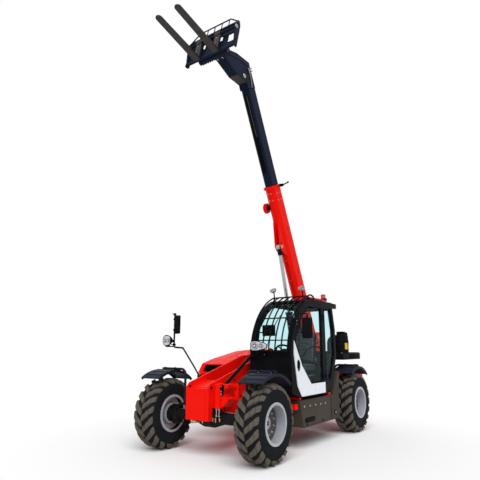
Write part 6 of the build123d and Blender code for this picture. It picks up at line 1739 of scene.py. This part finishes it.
def cylinder_details():
    """Gland rings, port blocks and pipes on both cylinders' barrels, wiper rings and rod ends."""
    piece = Piece("lift_barrel_fittings", LIFT)
    piece.lathe([(1.322, 0.0715), (1.326, 0.0800), (1.352, 0.0800), (1.356, 0.0740),
                 (1.361, 0.0620), (1.361, 0.0385), (1.322, 0.0385)], BLACK, (0, 0, 0), (1, 0, 0),
                48, closed=True)
    piece.bolt_ring((1.3605, 0, 0), (1, 0, 0), 0.055, 8, 0.007)
    piece.block((0.125, -0.022, 0.066), (0.175, 0.022, 0.096), BLACK, 0.005)
    piece.block((1.245, -0.022, 0.066), (1.295, 0.022, 0.096), BLACK, 0.005)
    piece.tube([(0.16, 0, 0.090), (0.22, 0, 0.090), (1.20, 0, 0.090), (1.26, 0, 0.090)], 0.0095,
               STEEL, 0.02, 10)
    for along in (0.40, 0.75, 1.08):
        piece.lathe([(along - 0.010, 0.0718), (along - 0.010, 0.0745), (along + 0.010, 0.0745),
                     (along + 0.010, 0.0718)], STEEL, (0, 0, 0), (1, 0, 0), 48, closed=True)
        piece.block((along - 0.012, -0.018, 0.068), (along + 0.012, 0.018, 0.103), BLACK, 0.004)
    piece.done("lift_cylinder_barrel")
    piece = Piece("lift_rod_fittings", LIFT)
    piece.lathe([(LIFT_LENGTH - 0.175, 0.0378), (LIFT_LENGTH - 0.168, 0.047),
                 (LIFT_LENGTH - 0.080, 0.050), (LIFT_LENGTH - 0.052, 0.046),
                 (LIFT_LENGTH - 0.050, 0.0378)], BLACK, (0, 0, 0), (1, 0, 0), 36, closed=True)
    for side in (1, -1):
        piece.lathe([(-0.001, 0.060), (0.003, 0.058), (0.003, 0.034), (-0.001, 0.034)], BLACK,
                    (LIFT_LENGTH, side * 0.040, 0), (0, side, 0), 36, closed=True)
    piece.done("lift_cylinder_rod")
    piece = Piece("tilt_barrel_fittings", TILT)
    piece.lathe([(0.462, 0.0448), (0.466, 0.0525), (0.494, 0.0525), (0.501, 0.0400),
                 (0.501, 0.0228), (0.462, 0.0228)], BLACK, (0, 0, 0), (1, 0, 0), 36, closed=True)
    piece.bolt_ring((0.5005, 0, 0), (1, 0, 0), 0.033, 6, 0.005)
    piece.block((0.095, -0.015, 0.038), (0.130, 0.015, 0.062), BLACK, 0.004)
    piece.tube([(0.12, 0, 0.056), (0.16, 0, 0.056), (0.40, 0, 0.056), (0.43, 0, 0.050)], 0.006,
               STEEL, 0.015, 8)
    piece.done("tilt_cylinder_barrel")
    piece = Piece("tilt_rod_fittings", TILT)
    piece.lathe([(0.760, 0.0223), (0.764, 0.0275), (0.806, 0.0275), (0.810, 0.0223)], BLACK,
                (0, 0, 0), (1, 0, 0), 28, closed=True)
    piece.done("tilt_cylinder_rod")


boom_details()
head_details()
carriage_details()
fork_details("left_fork", 0.200)
fork_details("right_fork", -0.225)
cylinder_details()


# ---------------------------------------------------------------- floor, light and camera
FLOOR_RADIUS = 40.0
FLOOR_COLOR = (0.97, 0.97, 0.97, 1)
FADE_FROM, FADE_TO = 2.2, 4.2                        # metres out, where the floor turns white
WORLD_COLOR, WORLD_STRENGTH = (0.97, 0.985, 1.0, 1), 0.40
KEY_AIM, KEY_STRENGTH, KEY_SPREAD = (-0.52, -0.42, -0.74), 2.45, 50
CAMERA_AT = (7.290661, 4.549974, 1.556183)
CAMERA_YAW, CAMERA_PITCH = 3.754320, 0.231122        # radians, about z and above level
LENS, SENSOR = 34.234, 36.0                          # millimetres


def floor():
    """Pale floor that keeps the shadow and fades into the white surroundings."""
    form = bmesh.new()
    bmesh.ops.create_circle(form, cap_ends=True, radius=FLOOR_RADIUS, segments=96)
    mesh = bpy.data.meshes.new("floor")
    form.to_mesh(mesh)
    form.free()
    made = placed("floor", mesh)
    made.location.z = -0.001
    s = Shader("floor_surface")
    away = s.node("ShaderNodeVectorMath", operation="LENGTH")
    s.feed(away.inputs[0], s.place)
    fade = s.spread(away.outputs["Value"], FADE_FROM, FADE_TO)
    matt = s.node("ShaderNodeBsdfDiffuse")
    matt.inputs["Color"].default_value = FLOOR_COLOR
    seen = s.node("ShaderNodeEmission")
    light = s.node("ShaderNodeLightPath")
    rays = s.math("MAXIMUM",
                  s.math("MAXIMUM", light.outputs["Is Camera Ray"], light.outputs["Is Glossy Ray"]),
                  light.outputs["Is Transmission Ray"])
    whole = s.node("ShaderNodeMixShader")
    s.feed(whole.inputs[0], s.math("MULTIPLY", fade, rays))
    s.tree.links.new(matt.outputs[0], whole.inputs[1])
    s.tree.links.new(seen.outputs[0], whole.inputs[2])
    s.tree.links.new(whole.outputs[0], s.output.inputs[0])
    mesh.materials.append(s.material)


def surroundings():
    """Soft studio world: even light, and plain white wherever it is seen."""
    world = bpy.data.worlds.new("studio")
    world.use_nodes = True
    tree = world.node_tree
    tree.nodes.clear()
    out = tree.nodes.new("ShaderNodeOutputWorld")
    light, white = tree.nodes.new("ShaderNodeBackground"), tree.nodes.new("ShaderNodeBackground")
    light.inputs[0].default_value = WORLD_COLOR
    light.inputs[1].default_value = WORLD_STRENGTH
    white.inputs[0].default_value = (1, 1, 1, 1)
    white.inputs[1].default_value = 1.0
    path = tree.nodes.new("ShaderNodeLightPath")
    a, b = tree.nodes.new("ShaderNodeMath"), tree.nodes.new("ShaderNodeMath")
    a.operation = b.operation = "MAXIMUM"
    tree.links.new(path.outputs["Is Camera Ray"], a.inputs[0])
    tree.links.new(path.outputs["Is Glossy Ray"], a.inputs[1])
    tree.links.new(a.outputs[0], b.inputs[0])
    tree.links.new(path.outputs["Is Transmission Ray"], b.inputs[1])
    mix = tree.nodes.new("ShaderNodeMixShader")
    tree.links.new(b.outputs[0], mix.inputs[0])
    tree.links.new(light.outputs[0], mix.inputs[1])
    tree.links.new(white.outputs[0], mix.inputs[2])
    tree.links.new(mix.outputs[0], out.inputs[0])
    bpy.context.scene.world = world


def lamp(name, aim, strength, angle):
    """Distant light along aim; a wide angle gives a soft shadow."""
    data = bpy.data.lights.new(name, "SUN")
    data.energy, data.angle = strength, radians(angle)
    placed(name, data).rotation_euler = Vector(aim).to_track_quat("-Z", "Y").to_euler()


def camera():
    """Low camera ahead of the machine on its left, aimed a little upwards."""
    data = bpy.data.cameras.new("camera")
    data.lens, data.sensor_width = LENS, SENSOR
    data.clip_end = 200.0
    made = placed("camera", data)
    made.location = CAMERA_AT
    level = cos(CAMERA_PITCH)
    way = Vector((level * cos(CAMERA_YAW), level * sin(CAMERA_YAW), sin(CAMERA_PITCH)))
    made.rotation_euler = way.to_track_quat("-Z", "Y").to_euler()
    bpy.context.scene.camera = made


floor()
surroundings()
lamp("key", KEY_AIM, KEY_STRENGTH, KEY_SPREAD)
camera()
bpy.context.scene.view_settings.view_transform = "Standard"
